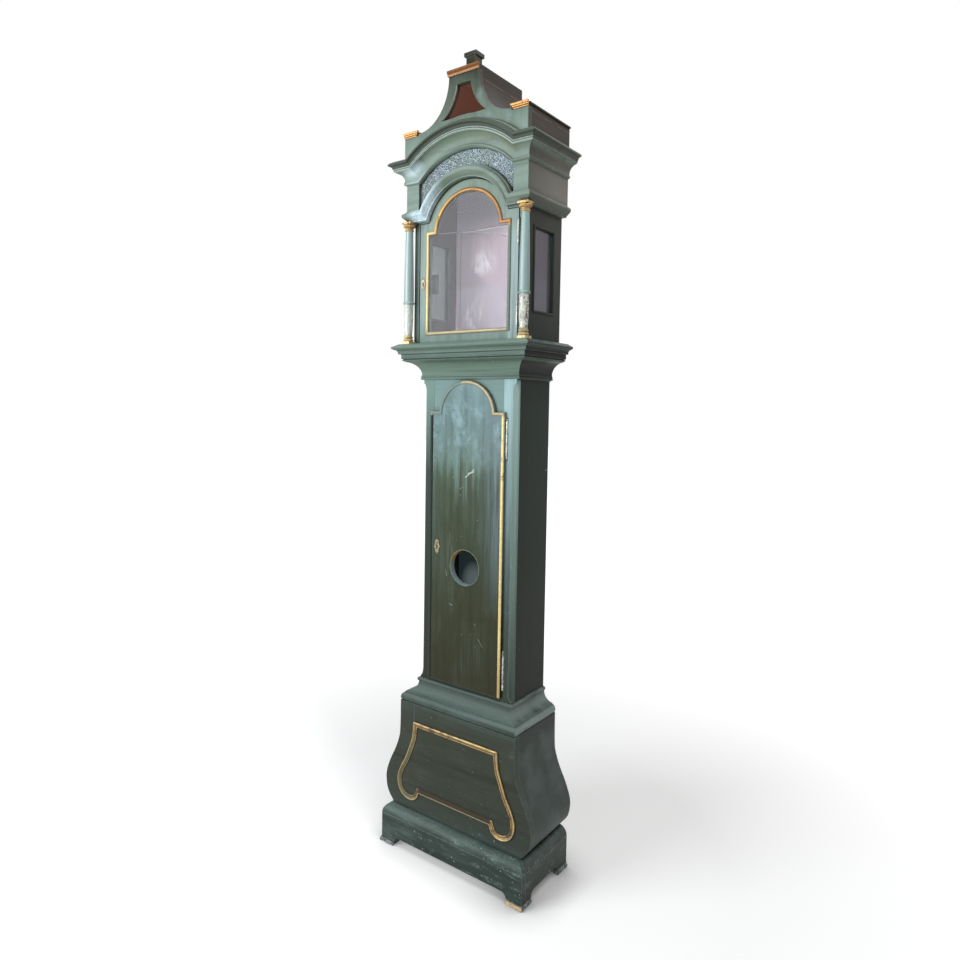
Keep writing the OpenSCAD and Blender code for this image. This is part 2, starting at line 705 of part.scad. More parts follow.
// A box lock fixed behind a door, with a slot for its bolt to slide in
module box_lock(edge, rear, z, bolt_d) difference() {
    slab([edge, edge + lock_width], [rear - lock_thick, rear], [z - lock_height / 2, z + lock_height / 2]);
    slab([edge - 1, edge + bolt_lead + 1], [bolt_d[0] - bolt_gap, bolt_d[1] + bolt_gap],
        [z - bolt_height / 2 - bolt_gap, z + bolt_height / 2 + bolt_gap]);
    front_board([0, 400]) translate([edge + lock_width / 2, z]) circle(2.5);
}

// The bolt passes just behind the trunk's front frame
trunk_bolt_d = [trunk_depth - trunk_frame - 0.5 - bolt_thick, trunk_depth - trunk_frame - 0.5];
module trunk_door_lock() color(iron) box_lock(trunk_lock_edge, door_rear, trunk_key_z, trunk_bolt_d);

module trunk_lock_bolt() color(brass)
    slab([trunk_lock_edge + 0.5, trunk_lock_edge + bolt_lead - 1 + 0.5], trunk_bolt_d,
        [trunk_key_z - bolt_height / 2, trunk_key_z + bolt_height / 2]);

// Small brass plate with a keyhole, pointed above and below
module key_plate(x, z, front, half_width, half_height) front_board([front, front + 1.2])
    translate([x, z]) difference() {
        union() {
            circle(half_width);
            polygon([[-half_width * 0.55, -half_height * 0.7], [0, -half_height], [half_width * 0.55,
                -half_height * 0.7], [half_width * 0.8, 0], [half_width * 0.55, half_height * 0.7],
                [0, half_height], [-half_width * 0.55, half_height * 0.7], [-half_width * 0.8, 0]]);
        }
        keyhole();
    }

module trunk_door_escutcheon() color(brass) key_plate(trunk_key_x, trunk_key_z, door_front, 11, 24);

// Hood carcase

module hood_base_frame() color(green) {
    z = [hood_bottom, hood_floor];
    front = trunk_depth - 6;
    inner = trunk_half + hood_clearance;
    front_run(trunk_half, front, front + 2, z) translate([0, z[0]]) polygon(hood_base_section);
    side_runs(trunk_half, front, inner, z) translate([0, z[0]]) polygon(hood_base_section);
}

window_d = [46, 153];
window_z = [1684, 1920];
hood_inner = hood_half - hood_board;

module hood_side() difference() {
    slab([hood_inner, hood_half], [0, hood_depth - 1.5], [hood_floor, cornice_top]);
    slab([hood_inner - 1, hood_half + 1], window_d, window_z);
}

module hood_side_right() color(green) hood_side();

module hood_side_left() color(green) difference() {
    mirror([1, 0, 0]) hood_side();
    // mortise for the door lock's bolt
    slab([-hood_inner - hood_bolt_travel - 3, -hood_inner + 1], [hood_bolt_d[0] - 1, hood_bolt_d[1] + 1],
        [hood_key_z - bolt_height / 2 - 1, hood_key_z + bolt_height / 2 + 1]);
}

// Stiles and rail that close the back beside and above the backboard
module hood_back_rails() color(bare_wood) {
    both() slab([backboard_half + 3, hood_inner], [0, back_board], [seat_top + 12, hood_door_top + 15]);
    slab([-hood_inner, hood_inner], [0, back_board], [hood_door_top + 15 + seam, cornice_top]);
}

hood_ceiling = cornice_z + 16;

module hood_top_board() color(bare_wood)
    slab([-hood_inner, hood_inner], [back_board, hood_depth - 20], [hood_ceiling, hood_ceiling + 12]);

// Board behind the arched mouldings, cut out for the top of the door
module hood_head_board() color(green) front_board([hood_depth - 20, hood_depth]) difference() {
    union() {
        box2([-hood_inner, hood_inner], [hood_door_top + 2, cornice_top]);
        intersection() {
            translate([0, arch_centre]) circle(cornice_arch + 60, $fn = 96);
            box2([-hood_inner, hood_inner], [cornice_z, cornice_top + 100]);
        }
    }
    translate([0, arch_centre]) circle(arch_inner, $fn = 96);
}

module hood_arch_moulding() color(green) {
    z = [lower_moulding_z, lower_moulding_z + 33.5];
    arched_run(lower_section, hood_half, lower_moulding_z, arch_inner, hood_depth);
    side_runs(hood_half, hood_depth, hood_half, z) translate([0, z[0]]) polygon(lower_section);
}

frieze_z = [lower_moulding_z + 33.5, cornice_z];
fret_half = 171;

module hood_frieze() color(green) {
    section = [[0, frieze_z[0]], [frieze_proud, frieze_z[0]], [frieze_proud, frieze_z[1]], [0, frieze_z[1]]];
    difference() {
        front_run(hood_half, hood_depth, hood_depth, frieze_z) polygon(section);
        slab([-fret_half - 1, fret_half + 1], [0, 400], [frieze_z[0] - 1, frieze_z[1] + 1]);
    }
    side_runs(hood_half, hood_depth, hood_half, frieze_z) polygon(section);
}

module fret_panel() color("silver") front_board([hood_depth, hood_depth + 10]) difference() {
    intersection() {
        translate([0, arch_centre]) circle(cornice_arch - fit_gap, $fn = 96);
        box2([-fret_half, fret_half], [frieze_z[0] + seam, arch_centre + cornice_arch]);
    }
    translate([0, arch_centre]) circle(arch_inner + 33.5 + fit_gap, $fn = 96);
}

module hood_cornice() color(green) {
    z = [cornice_z, cornice_top];
    arched_run(cornice_section, hood_half, cornice_z, cornice_arch, hood_depth);
    side_runs(hood_half, hood_depth, hood_half, z) translate([0, z[0]]) polygon(cornice_section);
}

module side_window_glass() color(glass_colour, 0.4)
    both() slab([hood_half - 9, hood_half - 9 + glass_thick], window_d + [seam, -seam], window_z + [seam, -seam]);

// Path in (y, height) round the side window, and its bead
module side_window_beads() color(green) {
    y = [back_y - window_d[1], back_y - window_d[0]];
    both() rotate([0, 0, 90]) translate([0, -back_y - hood_half, 0])
        sweep([[y[0], window_z[0]], [y[0], window_z[1]], [y[1], window_z[1]], [y[1], window_z[0]]],
            concat([[0, -6], [0, 0], [5, 0]], arc([2, 0.5], 3.6, 10, 170, 6), [[-3, -6]]), 0);
}

// Columns

module at_columns() both() translate([column_x, back_y - column_depth, 0]) children();

column_foot = hood_floor;
column_head = lower_moulding_z - fit_gap;
foot_height = 29;
capital_height = 27;

module column_bases() color(gilt) at_columns() {
    translate([-column_block / 2, -column_block / 2, column_foot]) cube([column_block, column_block, 8]);
    translate([0, 0, column_foot + 8]) rotate_extrude()
        polygon(concat([[0, 0]], arc([11.5, 4.5], 4.5, -90, 90, 6), [[12.5, 11]],
            arc([11.5, 14], 3, -90, 90, 5), [[11.8, 18.5], [11.6, foot_height - 8], [0, foot_height - 8]]));
}

module column_capitals() color(gilt) at_columns() {
    translate([-column_block / 2, -column_block / 2, column_head - 6]) cube([column_block, column_block, 6]);
    translate([0, 0, column_head - capital_height]) rotate_extrude()
        polygon(concat([[0, 0], [column_neck, 0]], arc([column_neck, 2.5], 2.5, -60, 60, 5),
            [[column_neck, 6], [12, 9]], arc([13.5, 16], 5.5, -70, 90, 7), [[0, capital_height - 6]]));
}

module column_shafts() color(green) at_columns() {
    low = column_foot + foot_height;
    high = column_head - capital_height;
    ring = hood_floor + column_ring_height;
    rotate_extrude() polygon(concat(
        [[0, low], [11.6, low], [13.6, low + 30], [14.5, ring - 7]],
        arc([14.6, ring], 3.7, -80, 80, 6),
        smooth([[column_belly, ring + 8], [column_belly * 0.97, ring + 60],
            [(column_belly + column_neck) / 2, (ring + high) / 2 + 20], [column_neck, high]], 4),
        [[0, high]]));
}

// Pediment and roof

// Concave shoulder from the flat top down to the side box
shoulder_foot = box_top + 6;
function shoulder(n = 14) = oval([box_inner, pediment_top], box_inner - pediment_top_half,
    pediment_top - shoulder_foot, 180, 270, n);

module pediment_outline() polygon(concat(
    [[-pediment_top_half, pediment_top], [pediment_top_half, pediment_top]], shoulder(),
    [[box_inner, box_top], [box_outer, box_top], [box_outer, cornice_top], [-box_outer, cornice_top],
        [-box_outer, box_top], [-box_inner, box_top]], flip_x(shoulder())));

// The opening follows the shoulders and is closed below by the top of the arch
pediment_hole_side = [for (point = oval([box_inner, pediment_top], box_inner - pediment_top_half,
    pediment_top - shoulder_foot, 191, 241, 9)) point - [pediment_border, 0]];

module pediment_board() color(green) front_board([pediment_back, pediment_depth]) difference() {
    pediment_outline();
    translate([0, arch_centre]) circle(cornice_arch + 77.6 + seam, $fn = 96);
    difference() {
        polygon(concat(pediment_hole_side, flip_x(pediment_hole_side)));
        translate([0, arch_centre]) circle(cornice_arch + 94, $fn = 96);
    }
}

module pediment_back_board() color(bare_wood) front_board([0, roof_back]) pediment_outline();

// Boards from the back board to the pediment: a hollow curve each side and a flat top
module roof_boards() color("saddlebrown") {
    both() front_board([roof_back, pediment_back]) polygon(concat(shoulder(),
        [for (p = flip_x(shoulder())) [-p[0], p[1]] - [roof_board, roof_board]]));
    slab([-pediment_top_half, pediment_top_half], [0, pediment_depth], [pediment_top, pediment_top + 16]);
}

module side_box_boards() color("saddlebrown") both() difference() {
    d = [roof_back, pediment_back];
    union() {
        slab([box_outer - roof_board, box_outer], d, [cornice_top, box_top]);
        slab([box_inner, box_inner + roof_board], d, [cornice_top, box_top]);
        slab([box_inner, box_outer], [0, pediment_depth], [box_top, box_top + 7]);
        slab([box_inner - 2, box_outer + 4], [0, pediment_depth - 2], [box_top + 7, box_top + 11.5]);
    }
    front_board([hood_depth - 20 - fit_gap, pediment_back + 1]) translate([0, arch_centre])
        circle(cornice_arch + 77.6 + fit_gap, $fn = 96);
}

module gilt_caps() color(gilt) {
    cap = [[0, 0], [2.4, 0], [3.4, 1.6], [2.4, 3.4], [4.6, 5], [4.6, 8], [6.4, 9.2], [7.2, 11],
        [7.2, cap_height], [0, cap_height]];
    both() intersection() {
        side_board([box_inner - 2, box_outer + 4]) translate([pediment_depth, box_top]) polygon(cap);
        front_board([pediment_depth - 1, pediment_depth + 9]) translate([0, box_top])
            polygon([[box_inner + 8, 0], [box_outer, 0], [box_outer + 1.6, cap_height],
                [box_inner - 1, cap_height]]);
    }
    side_board([-pediment_top_half - 3, pediment_top_half + 3]) translate([pediment_depth, pediment_top])
        polygon([[0, 0], [3, 0], [5, 5], [5, 8], [8, 10], [8, 16], [0, 16]]);
}

module finial() color(green) {
    top = pediment_top + 16;
    flare = 5;
    d = 196 - finial_side / 2;
    half = finial_side / 2;
    intersection() {
        front_board([d - half - flare, d + half + flare]) polygon(finial_section(half, flare, top));
        side_board([-half - flare, half + flare]) translate([d, 0])
            polygon(finial_section(half, flare, top));
    }
}
function finial_section(half, flare, z) = let (
        right = concat([[half, z], [half, z + finial_height - 17]],
            arc([half + flare + 1, z + finial_height - 17], flare + 1, 180, 100, 5),
            [[half + flare, z + finial_height - 9], [half + flare, z + finial_height]]))
    concat(right, flip_x(right));

// Hood door

// The hood hinges stand proud of the face, with their leaves along the edge of the door
hood_hinge_x = (hood_door_half + hood_inner) / 2;
hood_hinge_heights = [1668, 1900];
module at_hood_hinge(z)
    translate([hood_hinge_x, back_y - hood_door_front - barrel_radius - 0.3, z]) rotate([0, 0, -90]) children();
hood_leaf_width = 20;

module hood_hinge_case_leaves() color(brass) for (z = hood_hinge_heights) at_hood_hinge(z) {
    hinge_half(hood_hinge_height, [0, 2], hood_leaf_width, [0.1, leaf + 0.1]);
    hinge_pin(hood_hinge_height);
}

module hood_door_hinge_leaves() color(brass) for (z = hood_hinge_heights) at_hood_hinge(z)
    hinge_half(hood_hinge_height, [1], hood_leaf_width, [-leaf - 0.1, -0.1]);

hood_door_d = [hood_door_front - hood_door_thick, hood_door_front];
hood_key_x = -166;
hood_key_z = 1783;
hood_bolt_d = [hood_door_d[0] - 9, hood_door_d[0] - 9 + bolt_thick];

module hood_door_frame() color(green) difference() {
    union() {
        both() slab([glass_half, hood_door_half], hood_door_d, [hood_door_bottom, hood_door_top]);
        slab([-glass_half + seam, glass_half - seam], hood_door_d, [hood_door_bottom, glass_bottom]);
        front_board(hood_door_d) difference() {
            union() {
                box2([-glass_half + seam, glass_half - seam], [glass_shoulder, hood_door_top]);
                intersection() {
                    translate([0, arch_centre]) circle(hood_door_arch, $fn = 96);
                    box2([-glass_half + seam, glass_half - seam], [glass_shoulder, glass_shoulder + 300]);
                }
            }
            translate([0, arch_centre]) circle(glass_arch, $fn = 96);
        }
    }
    front_board([0, 400]) translate([hood_key_x, hood_key_z]) keyhole();
}

module hood_door_bead() color(gilt)
    sweep(arched_path(glass_half - 0.5, glass_bottom + 0.5, glass_shoulder, arch_centre, glass_arch - 0.5),
        bead_section(glass_bead, 4), hood_door_front);

// Two panes, which meet at the spring of the arch
module hood_door_glass() color(glass_colour, 0.4) {
    d = [hood_door_front - 0.3 - glass_thick, hood_door_front - 0.3];
    pane_joint = arch_centre;
    front_board(d) box2([-glass_half + 1, glass_half - 1], [glass_bottom + 1, pane_joint - 0.2]);
    front_board(d) {
        box2([-glass_half + 1, glass_half - 1], [pane_joint + 0.2, glass_shoulder - 1]);
        intersection() {
            translate([0, arch_centre]) circle(glass_arch - 1, $fn = 96);
            box2([-glass_half, glass_half], [pane_joint + 0.2, arch_centre + glass_arch]);
        }
    }
}

hood_lock_edge = -hood_door_half;
module hood_door_lock() color(iron) box_lock(hood_lock_edge, hood_door_d[0], hood_key_z, hood_bolt_d);

module hood_lock_bolt() color(brass)
    slab([hood_lock_edge + 0.5, hood_lock_edge + bolt_lead - 1 + 0.5], hood_bolt_d,
        [hood_key_z - bolt_height / 2, hood_key_z + bolt_height / 2]);

module hood_door_escutcheon() color(brass) key_plate(hood_key_x, hood_key_z, hood_door_front, 9, 20);

foot_pads();
plinth_front();
plinth_sides();
plinth_corner_blocks();
plinth_moulding();
base_floor();
base_front();
base_sides();
base_panel_moulding();
base_top_frame();
base_top_moulding();
backboard();
backboard_wings();
trunk_sides();
trunk_stile_left();
trunk_stile_right();
trunk_top_rail();
trunk_bottom_rail();
waist_cornice();
hood_runners();
seat_board();
trunk_hinge_case_leaves();
trunk_hinge_pins();
trunk_hinge_case_screws();
trunk_door_panel();
trunk_door_bead();
trunk_door_hinge_leaves();
trunk_door_hinge_screws();
trunk_door_lock();
trunk_door_escutcheon();
trunk_lock_bolt();
hood_base_frame();
hood_side_left();
hood_side_right();
hood_back_rails();
hood_head_board();
hood_top_board();
hood_arch_moulding();
hood_frieze();
fret_panel();
hood_cornice();
side_window_glass();
side_window_beads();
column_shafts();
column_capitals();
column_bases();
pediment_board();
pediment_back_board();
roof_boards();
side_box_boards();
gilt_caps();
finial();
hood_hinge_case_leaves();
hood_door_frame();
hood_door_bead();
hood_door_glass();
hood_door_hinge_leaves();
hood_door_lock();
hood_door_escutcheon();
hood_lock_bolt();
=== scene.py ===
# %% [markdown]
# A painted longcase clock, dressed around its packed model
# The boards, mouldings, doors and glass are already exact solids, each in its own node.
# This lesson gives them the look of a case that was painted green some two hundred years ago:
# thin oil paint that has bloomed and chipped, gilding worn through to its ground, bare hidden
# wood, old glass. Only what a board-maker's drawing leaves out is made here as new surfaces,
# such as the carving between the arches.

# %% Load the packed model
import math

import bpy
import numpy as np
from mathutils import Matrix, Vector


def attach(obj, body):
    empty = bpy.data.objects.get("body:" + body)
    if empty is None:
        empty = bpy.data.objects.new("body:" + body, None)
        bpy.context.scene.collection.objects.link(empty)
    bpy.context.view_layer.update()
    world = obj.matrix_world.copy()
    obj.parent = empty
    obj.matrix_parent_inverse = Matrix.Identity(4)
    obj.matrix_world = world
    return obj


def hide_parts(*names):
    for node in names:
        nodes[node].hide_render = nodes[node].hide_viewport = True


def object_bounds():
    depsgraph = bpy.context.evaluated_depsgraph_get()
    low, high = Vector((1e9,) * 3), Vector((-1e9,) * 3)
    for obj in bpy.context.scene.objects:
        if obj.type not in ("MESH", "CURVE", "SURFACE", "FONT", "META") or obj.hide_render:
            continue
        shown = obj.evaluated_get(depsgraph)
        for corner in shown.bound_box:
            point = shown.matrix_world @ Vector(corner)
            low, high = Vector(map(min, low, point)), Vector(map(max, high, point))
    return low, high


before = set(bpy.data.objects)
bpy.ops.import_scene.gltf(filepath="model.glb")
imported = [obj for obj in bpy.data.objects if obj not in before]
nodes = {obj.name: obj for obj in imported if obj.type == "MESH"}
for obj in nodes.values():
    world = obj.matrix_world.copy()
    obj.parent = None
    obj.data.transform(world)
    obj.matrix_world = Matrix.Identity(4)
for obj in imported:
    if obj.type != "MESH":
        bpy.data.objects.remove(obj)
cad_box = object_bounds()
low, high = np.array(cad_box[0]), np.array(cad_box[1])
height = high[2]
print("case:", len(nodes), "nodes,", np.round(high - low, 3), "m")

# %% [markdown]
# The camera stands to the right of the case, at the height of the eyes, 1.41 m, with a wide lens.
# Its place, turn and lens were worked out from the straight edges of the case. The small shift
# puts the middle of the lens where it lies in the frame.

# %% Camera
EYE = Vector((1.2925, -1.7976, 1.4133))
YAW, PITCH, ROLL = (math.radians(a) for a in (-37.43, -2.98, -0.83))
FOCAL_PX, FRAME_PX = 723.0, 960.0
MIDDLE_PX = (456.0, 442.0)

forward = Vector((math.sin(YAW) * math.cos(PITCH), math.cos(YAW) * math.cos(PITCH), math.sin(PITCH)))
level = Vector((math.cos(YAW), -math.sin(YAW), 0))
down = forward.cross(level)
if down.z > 0:
    down = -down
right = level * math.cos(ROLL) + down * math.sin(ROLL)
down = down * math.cos(ROLL) - level * math.sin(ROLL)

lens = bpy.data.cameras.new("camera")
camera = bpy.data.objects.new("camera", lens)
bpy.context.scene.collection.objects.link(camera)
turn = Matrix((right, -down, -forward)).transposed()
camera.matrix_world = Matrix.Translation(EYE) @ turn.to_4x4()
lens.sensor_width = 36
lens.lens = FOCAL_PX / FRAME_PX * lens.sensor_width
lens.shift_x = (FRAME_PX / 2 - MIDDLE_PX[0]) / FRAME_PX
lens.shift_y = (MIDDLE_PX[1] - FRAME_PX / 2) / FRAME_PX
bpy.context.scene.camera = camera
print("lens", round(lens.lens, 1), "mm")

# %% [markdown]
# A finish is a small network of nodes. Wiring it by hand takes many lines, so one class wraps a
# node's output: adding or multiplying two outputs adds the Math node for it, and a formula can be
# read as a formula.

# %% Sums of sockets
class Out:
    """An output socket that can be used in sums."""

    def __init__(self, network, socket):
        self.network, self.socket = network, socket

    def maths(self, operation, a, b=0.0):
        return self.network.node("ShaderNodeMath", {"operation": operation}, {0: a, 1: b})

    def __add__(self, other):
        return self.maths("ADD", self, other)

    def __sub__(self, other):
        return self.maths("SUBTRACT", self, other)

    def __rsub__(self, other):
        return self.maths("SUBTRACT", other, self)

    def __mul__(self, other):
        return self.maths("MULTIPLY", self, other)

    def __pow__(self, other):
        return self.maths("POWER", self, other)

    __radd__, __rmul__ = __add__, __mul__

    def over(self, start, end):
        """0 below start and 1 above end, straight between; end may be the lower one."""
        return self.network.node("ShaderNodeMapRange", {"clamp": True},
                                 {"Value": self, "From Min": start, "From Max": end})

    def size(self):
        """The value without its sign."""
        return self.maths("ABSOLUTE", self)

    def least(self, other):
        """The smaller of two values."""
        return self.maths("MINIMUM", self, other)

    def most(self, other):
        """The larger of two values."""
        return self.maths("MAXIMUM", self, other)


print("beside sums, an output knows:", ", ".join(name for name in vars(Out) if name[0] != "_"))

# %% [markdown]
# A second class holds the network, of a material or of the world. One method adds any node: its
# own settings first, then the values or links of its sockets. What every finish needs again and
# again, such as noise, a mix of colours or relief, has a short name.

# %% Networks and finishes
class Network:
    """The nodes of a material or of the world, added one call at a time."""

    def __init__(self, holder):
        holder.use_nodes = True
        self.tree = holder.node_tree
        self.tree.nodes.clear()

    def node(self, kind, settings=None, sockets=None, out=0):
        """Adds a node and gives back one of its outputs. Among the settings, stops lists a ramp's
        places and colours. A socket takes a number, a colour or another node's output."""
        made = self.tree.nodes.new(kind)
        for key, value in (settings or {}).items():
            if key == "stops":
                ramp = made.color_ramp
                while len(ramp.elements) < len(value):
                    ramp.elements.new(0.5)
                for stop, (at, colour) in zip(ramp.elements, value):
                    stop.position, stop.color = at, (*colour, 1)
            else:
                setattr(made, key, value)
        for key, value in (sockets or {}).items():
            if isinstance(value, Out):
                self.tree.links.new(value.socket, made.inputs[key])
            else:
                made.inputs[key].default_value = value
        return Out(self, made.outputs[out]) if len(made.outputs) else made

    def background_rays(self):
        """1 for a ray from the camera, or passed on by a gloss or a glass, and 0 for lamp light."""
        camera_ray, glossy, through = (self.node("ShaderNodeLightPath", out=f"Is {kind} Ray")
                                       for kind in ("Camera", "Glossy", "Transmission"))
        return camera_ray.most(glossy).most(through)


class Finish(Network):
    """A material. x, y and z are a point's place, and out_x, out_y and out_z say how far its face
    looks along each axis, from -1 to 1."""

    def __init__(self, name):
        self.material = bpy.data.materials.new(name)
        super().__init__(self.material)
        self.place = self.node("ShaderNodeTexCoord", out="Object")
        self.x, self.y, self.z = self.split(self.place)
        self.normal = self.node("ShaderNodeNewGeometry", out="True Normal")
        self.out_x, self.out_y, self.out_z = self.split(self.normal)

    def split(self, vector):
        """The three numbers of a vector."""
        made = self.node("ShaderNodeSeparateXYZ", sockets={0: vector})
        return [Out(self, made.socket.node.outputs[i]) for i in range(3)]

    def noise(self, scale, stretch=(1, 1, 1), detail=4.0, rough=0.55, shift=0.0, twist=0.0):
        """Clouds from 0 to 1, mostly near 0.5. A small number in stretch draws them out along that
        axis, shift takes another part of them, and twist bends them."""
        at = self.node("ShaderNodeMapping", sockets={
            "Vector": self.place, "Scale": stretch, "Location": (shift,) * 3})
        return self.node("ShaderNodeTexNoise", sockets={
            "Vector": at, "Scale": scale, "Detail": detail, "Roughness": rough, "Distortion": twist})

    def ramp(self, value, stops):
        """The colour that belongs to a value, straight between the stops."""
        return self.node("ShaderNodeValToRGB", {"stops": stops}, {0: value})

    def mix(self, first, second, amount):
        """The first colour where amount is 0 and the second where it is 1."""
        first, second = (c if isinstance(c, Out) else (*c, 1) for c in (first, second))
        return self.node("ShaderNodeMix", {"data_type": "RGBA"}, {0: amount, 6: first, 7: second}, out=2)

    def lay(self, colour, marks):
        """Lays marks over a colour, one after another: rows of a tone and how much of it is there."""
        for tone, amount in marks:
            colour = self.mix(colour, tone, amount)
        return colour

    def blend(self, first, second, amount):
        """As mix, for whole shaders."""
        return self.node("ShaderNodeMixShader", sockets={0: amount, 1: first, 2: second})

    def open_air(self, reach, samples=4):
        """1 in the open, and less the more other faces stand within reach."""
        return self.node("ShaderNodeAmbientOcclusion", {"samples": samples}, {"Distance": reach}, out="AO")

    def bump(self, value, depth, normal=None):
        """Relief as high as value times depth, in metres, on the face or on a given normal."""
        sockets = {"Height": value, "Distance": depth, "Strength": 1.0}
        if normal is not None:
            sockets["Normal"] = normal
        return self.node("ShaderNodeBump", sockets=sockets)

    def end(self, **sockets):
        """Ends in a Principled shader with these sockets, named with _ for a space."""
        named = {key.replace("_", " "): value for key, value in sockets.items()}
        return self.show(self.node("ShaderNodeBsdfPrincipled", sockets=named))

    def show(self, shader):
        """Ends in a shader of any kind."""
        self.node("ShaderNodeOutputMaterial", sockets={"Surface": shader})
        return self.material


print("a finish can add:", ", ".join(name for name in vars(Finish) if name[0] != "_"))

# %% [markdown]
# Colours are easier to judge as they are seen, but a shader works with amounts of light. One
# function turns the first into the second. Another puts a finish on solids of the packed model:
# they keep their meshes, and only what fills their material slots changes.

# %% Colours, and putting a finish on
def seen(red, green, blue):
    """A colour written as it is seen, 0 to 255, turned into light: the share of 255, raised to
    the power 2.4 after a small offset, and divided by 12.92 where it is nearly black."""
    c = np.array([red, green, blue]) / 255
    return tuple(float(v) for v in np.where(c <= 0.04045, c / 12.92, ((c + 0.055) / 1.055) ** 2.4))


def wear(material, *names):
    """Puts a finish on CAD nodes."""
    for name in names:
        for slot in nodes[name].material_slots:
            slot.material = material
    print(material.name, "on", ", ".join(names))


BLACK = (0, 0, 0)
print("middle grey as light:", round(seen(128, 128, 128)[0], 3))

# %% [markdown]
# The paint is the whole character of the piece. It was brushed on thinly, so long streaks run
# along the boards. The lower panels are olive and brown and the upper ones grey-blue, more so
# towards the right, and the front grows lighter upwards: partly the paint's bloom and partly
# painted light and reflection. The flanks of the case are nearly black, partly the paint and partly
# painted shade. Edges and upward faces are rubbed pale, and small chips show a chalky ground. One
# function makes every paint, from lists of colours by height for the fronts and the flanks, so that
# neighbours agree.
# It can hand its network to a second function, which gives back the marks of one piece.

# %% Green paint
EDGE = 0.0016
ALONG = {"z": (1, 1, 0.05), "x": (0.05, 1, 1)}
BLOOM, OLIVE, CHALK = seen(150, 172, 164), seen(96, 104, 72), seen(176, 186, 176)


def looks_inwards(f):
    """1 on faces that look towards the middle of the case: the place's x and the normal's x have
    opposite signs there, so their product is below zero."""
    return (f.out_x * f.x).over(-0.005, -0.015)


def streaky_paint(name, tones, grain="z", flanks=None, inside=None, marks=None, pale=BLOOM, bloom=0.3,
                  chips=0.4, shine=0.42, gloss=0.1, rub=0.7, dust=0.3, drift=0.07, ragged=0.03, lean=0.0,
                  turned=(0.35, 0.8), edge=EDGE):
    """Old brushed paint. Its tone is read from a list of (z, colour), at a height that clouds shift
    by drift, streaks by ragged, and the place across the front by lean. Faces turned to the side
    read flanks instead: partly the paint and partly painted shade, with more painted shade towards
    the front above the base. Then come bloom, rubbed edges, dust, painted shade in corners, chips
    and the marks."""
    f = Finish(name)
    streaks = f.noise(34, ALONG[grain], 6, 0.6)
    brush = f.noise(210, ALONG[grain], 3, 0.6, 2.0)
    cloud = f.noise(6, (1, 1, 0.7), 6, 0.62, 1.7, 0.6)
    fine = f.noise(170, (1, 1, 1), 5, 0.65, 5.0)
    share = f.z * (1 / height)
    at = share + (cloud - 0.5) * drift + (streaks - 0.5) * ragged + f.x * lean
    colour = f.ramp(at, [(z / height, tone) for z, tone in tones])
    colour = f.mix(colour, seen(18, 22, 18), streaks.over(0.50, 0.28) * 0.32 + brush.over(0.5, 0.3) * 0.12)
    bloomed = cloud.over(0.46, 0.72) * brush.over(0.3, 0.7) * streaks.over(0.35, 0.65)
    colour = f.mix(colour, pale, bloomed * bloom)
    # faces that look down are mixed towards olive
    colour = f.mix(colour, f.mix(colour, OLIVE, 0.6), f.out_z.over(-0.1, -0.7) * 0.5)
    # faces turned to the side take the flanks' tones, partly the paint and partly painted shade
    if flanks:
        dark = f.ramp(share + (cloud - 0.5) * 0.03, [(z / height, tone) for z, tone in flanks])
        # painted shade: the flanks above the base darken towards the front corner
        dark = f.mix(dark, seen(24, 27, 23), f.y.over(0.07, -0.10) * f.z.over(0.54, 0.60) * 0.45)
        colour = f.mix(colour, dark, f.out_x.size().over(*turned))
    if inside:
        colour = f.mix(colour, inside, looks_inwards(f))
    # rubbed edges: where a rounded normal turns away from the face's own
    round_normal = f.node("ShaderNodeBevel", {"samples": 4}, {"Radius": edge}, out="Normal")
    facing = f.node("ShaderNodeVectorMath", {"operation": "DOT_PRODUCT"}, {0: round_normal, 1: f.normal},
                    out="Value")
    open_air = f.open_air(0.014)
    rubbed = facing.over(0.992, 0.93) * open_air.over(0.62, 0.86) * fine.over(0.34, 0.56) * rub
    dusty = f.out_z.over(0.25, 0.9) * (streaks * 0.7 + fine * 0.3).over(0.34, 0.62) * dust
    colour = f.mix(colour, pale, rubbed.most(dusty))
    # painted shade: nearly black where other faces stand close, in corners and hollows
    colour = f.mix(colour, seen(12, 14, 11), open_air.over(0.8, 0.2) * 0.85)
    # chips: spots of the chalky ground, in clusters
    cluster = f.noise(5, (1, 1, 1), 3, 0.6, 12.0).over(0.52, 0.66) * 0.05
    spots = f.noise(120, (1, 1, 0.8), 5, 0.62, 8.0) + cluster + rubbed * 0.04
    chip = spots.over(0.745 - 0.03 * chips, 0.755 - 0.03 * chips)
    colour = f.mix(colour, CHALK, chip * 0.75)
    if marks:
        colour = f.lay(colour, marks(f, fine))
    rough = streaks * 0.16 + rubbed * 0.15 + (shine - 0.08)
    relief = streaks * 0.3 + brush * 0.18 + fine * 0.15 - chip * 0.5
    return f.end(Base_Color=colour, Roughness=rough, Normal=f.bump(relief, 0.0006, round_normal),
                 Specular_IOR_Level=gloss)


print("rubbed edges are", EDGE * 1000, "mm wide, streaks run along", " or ".join(ALONG))

# %% [markdown]
# The tones of the paint change with the height, in the same way on every board. Each list below
# runs from the lowest place to the highest, in metres above the floor: the trunk door goes from
# brown to a lighter blue bloom, partly the paint and partly painted light; the stiles go pale
# sooner, partly a painted reflection; and the flanks are nearly black between the base and the
# hood, partly painted shade. Near the top the paint is dark again.

# %% Tones by height
def by_height(*stops):
    """A list of (z, colour as light) from rows of (z, colour as seen)."""
    return [(z, seen(*c)) for z, c in stops]
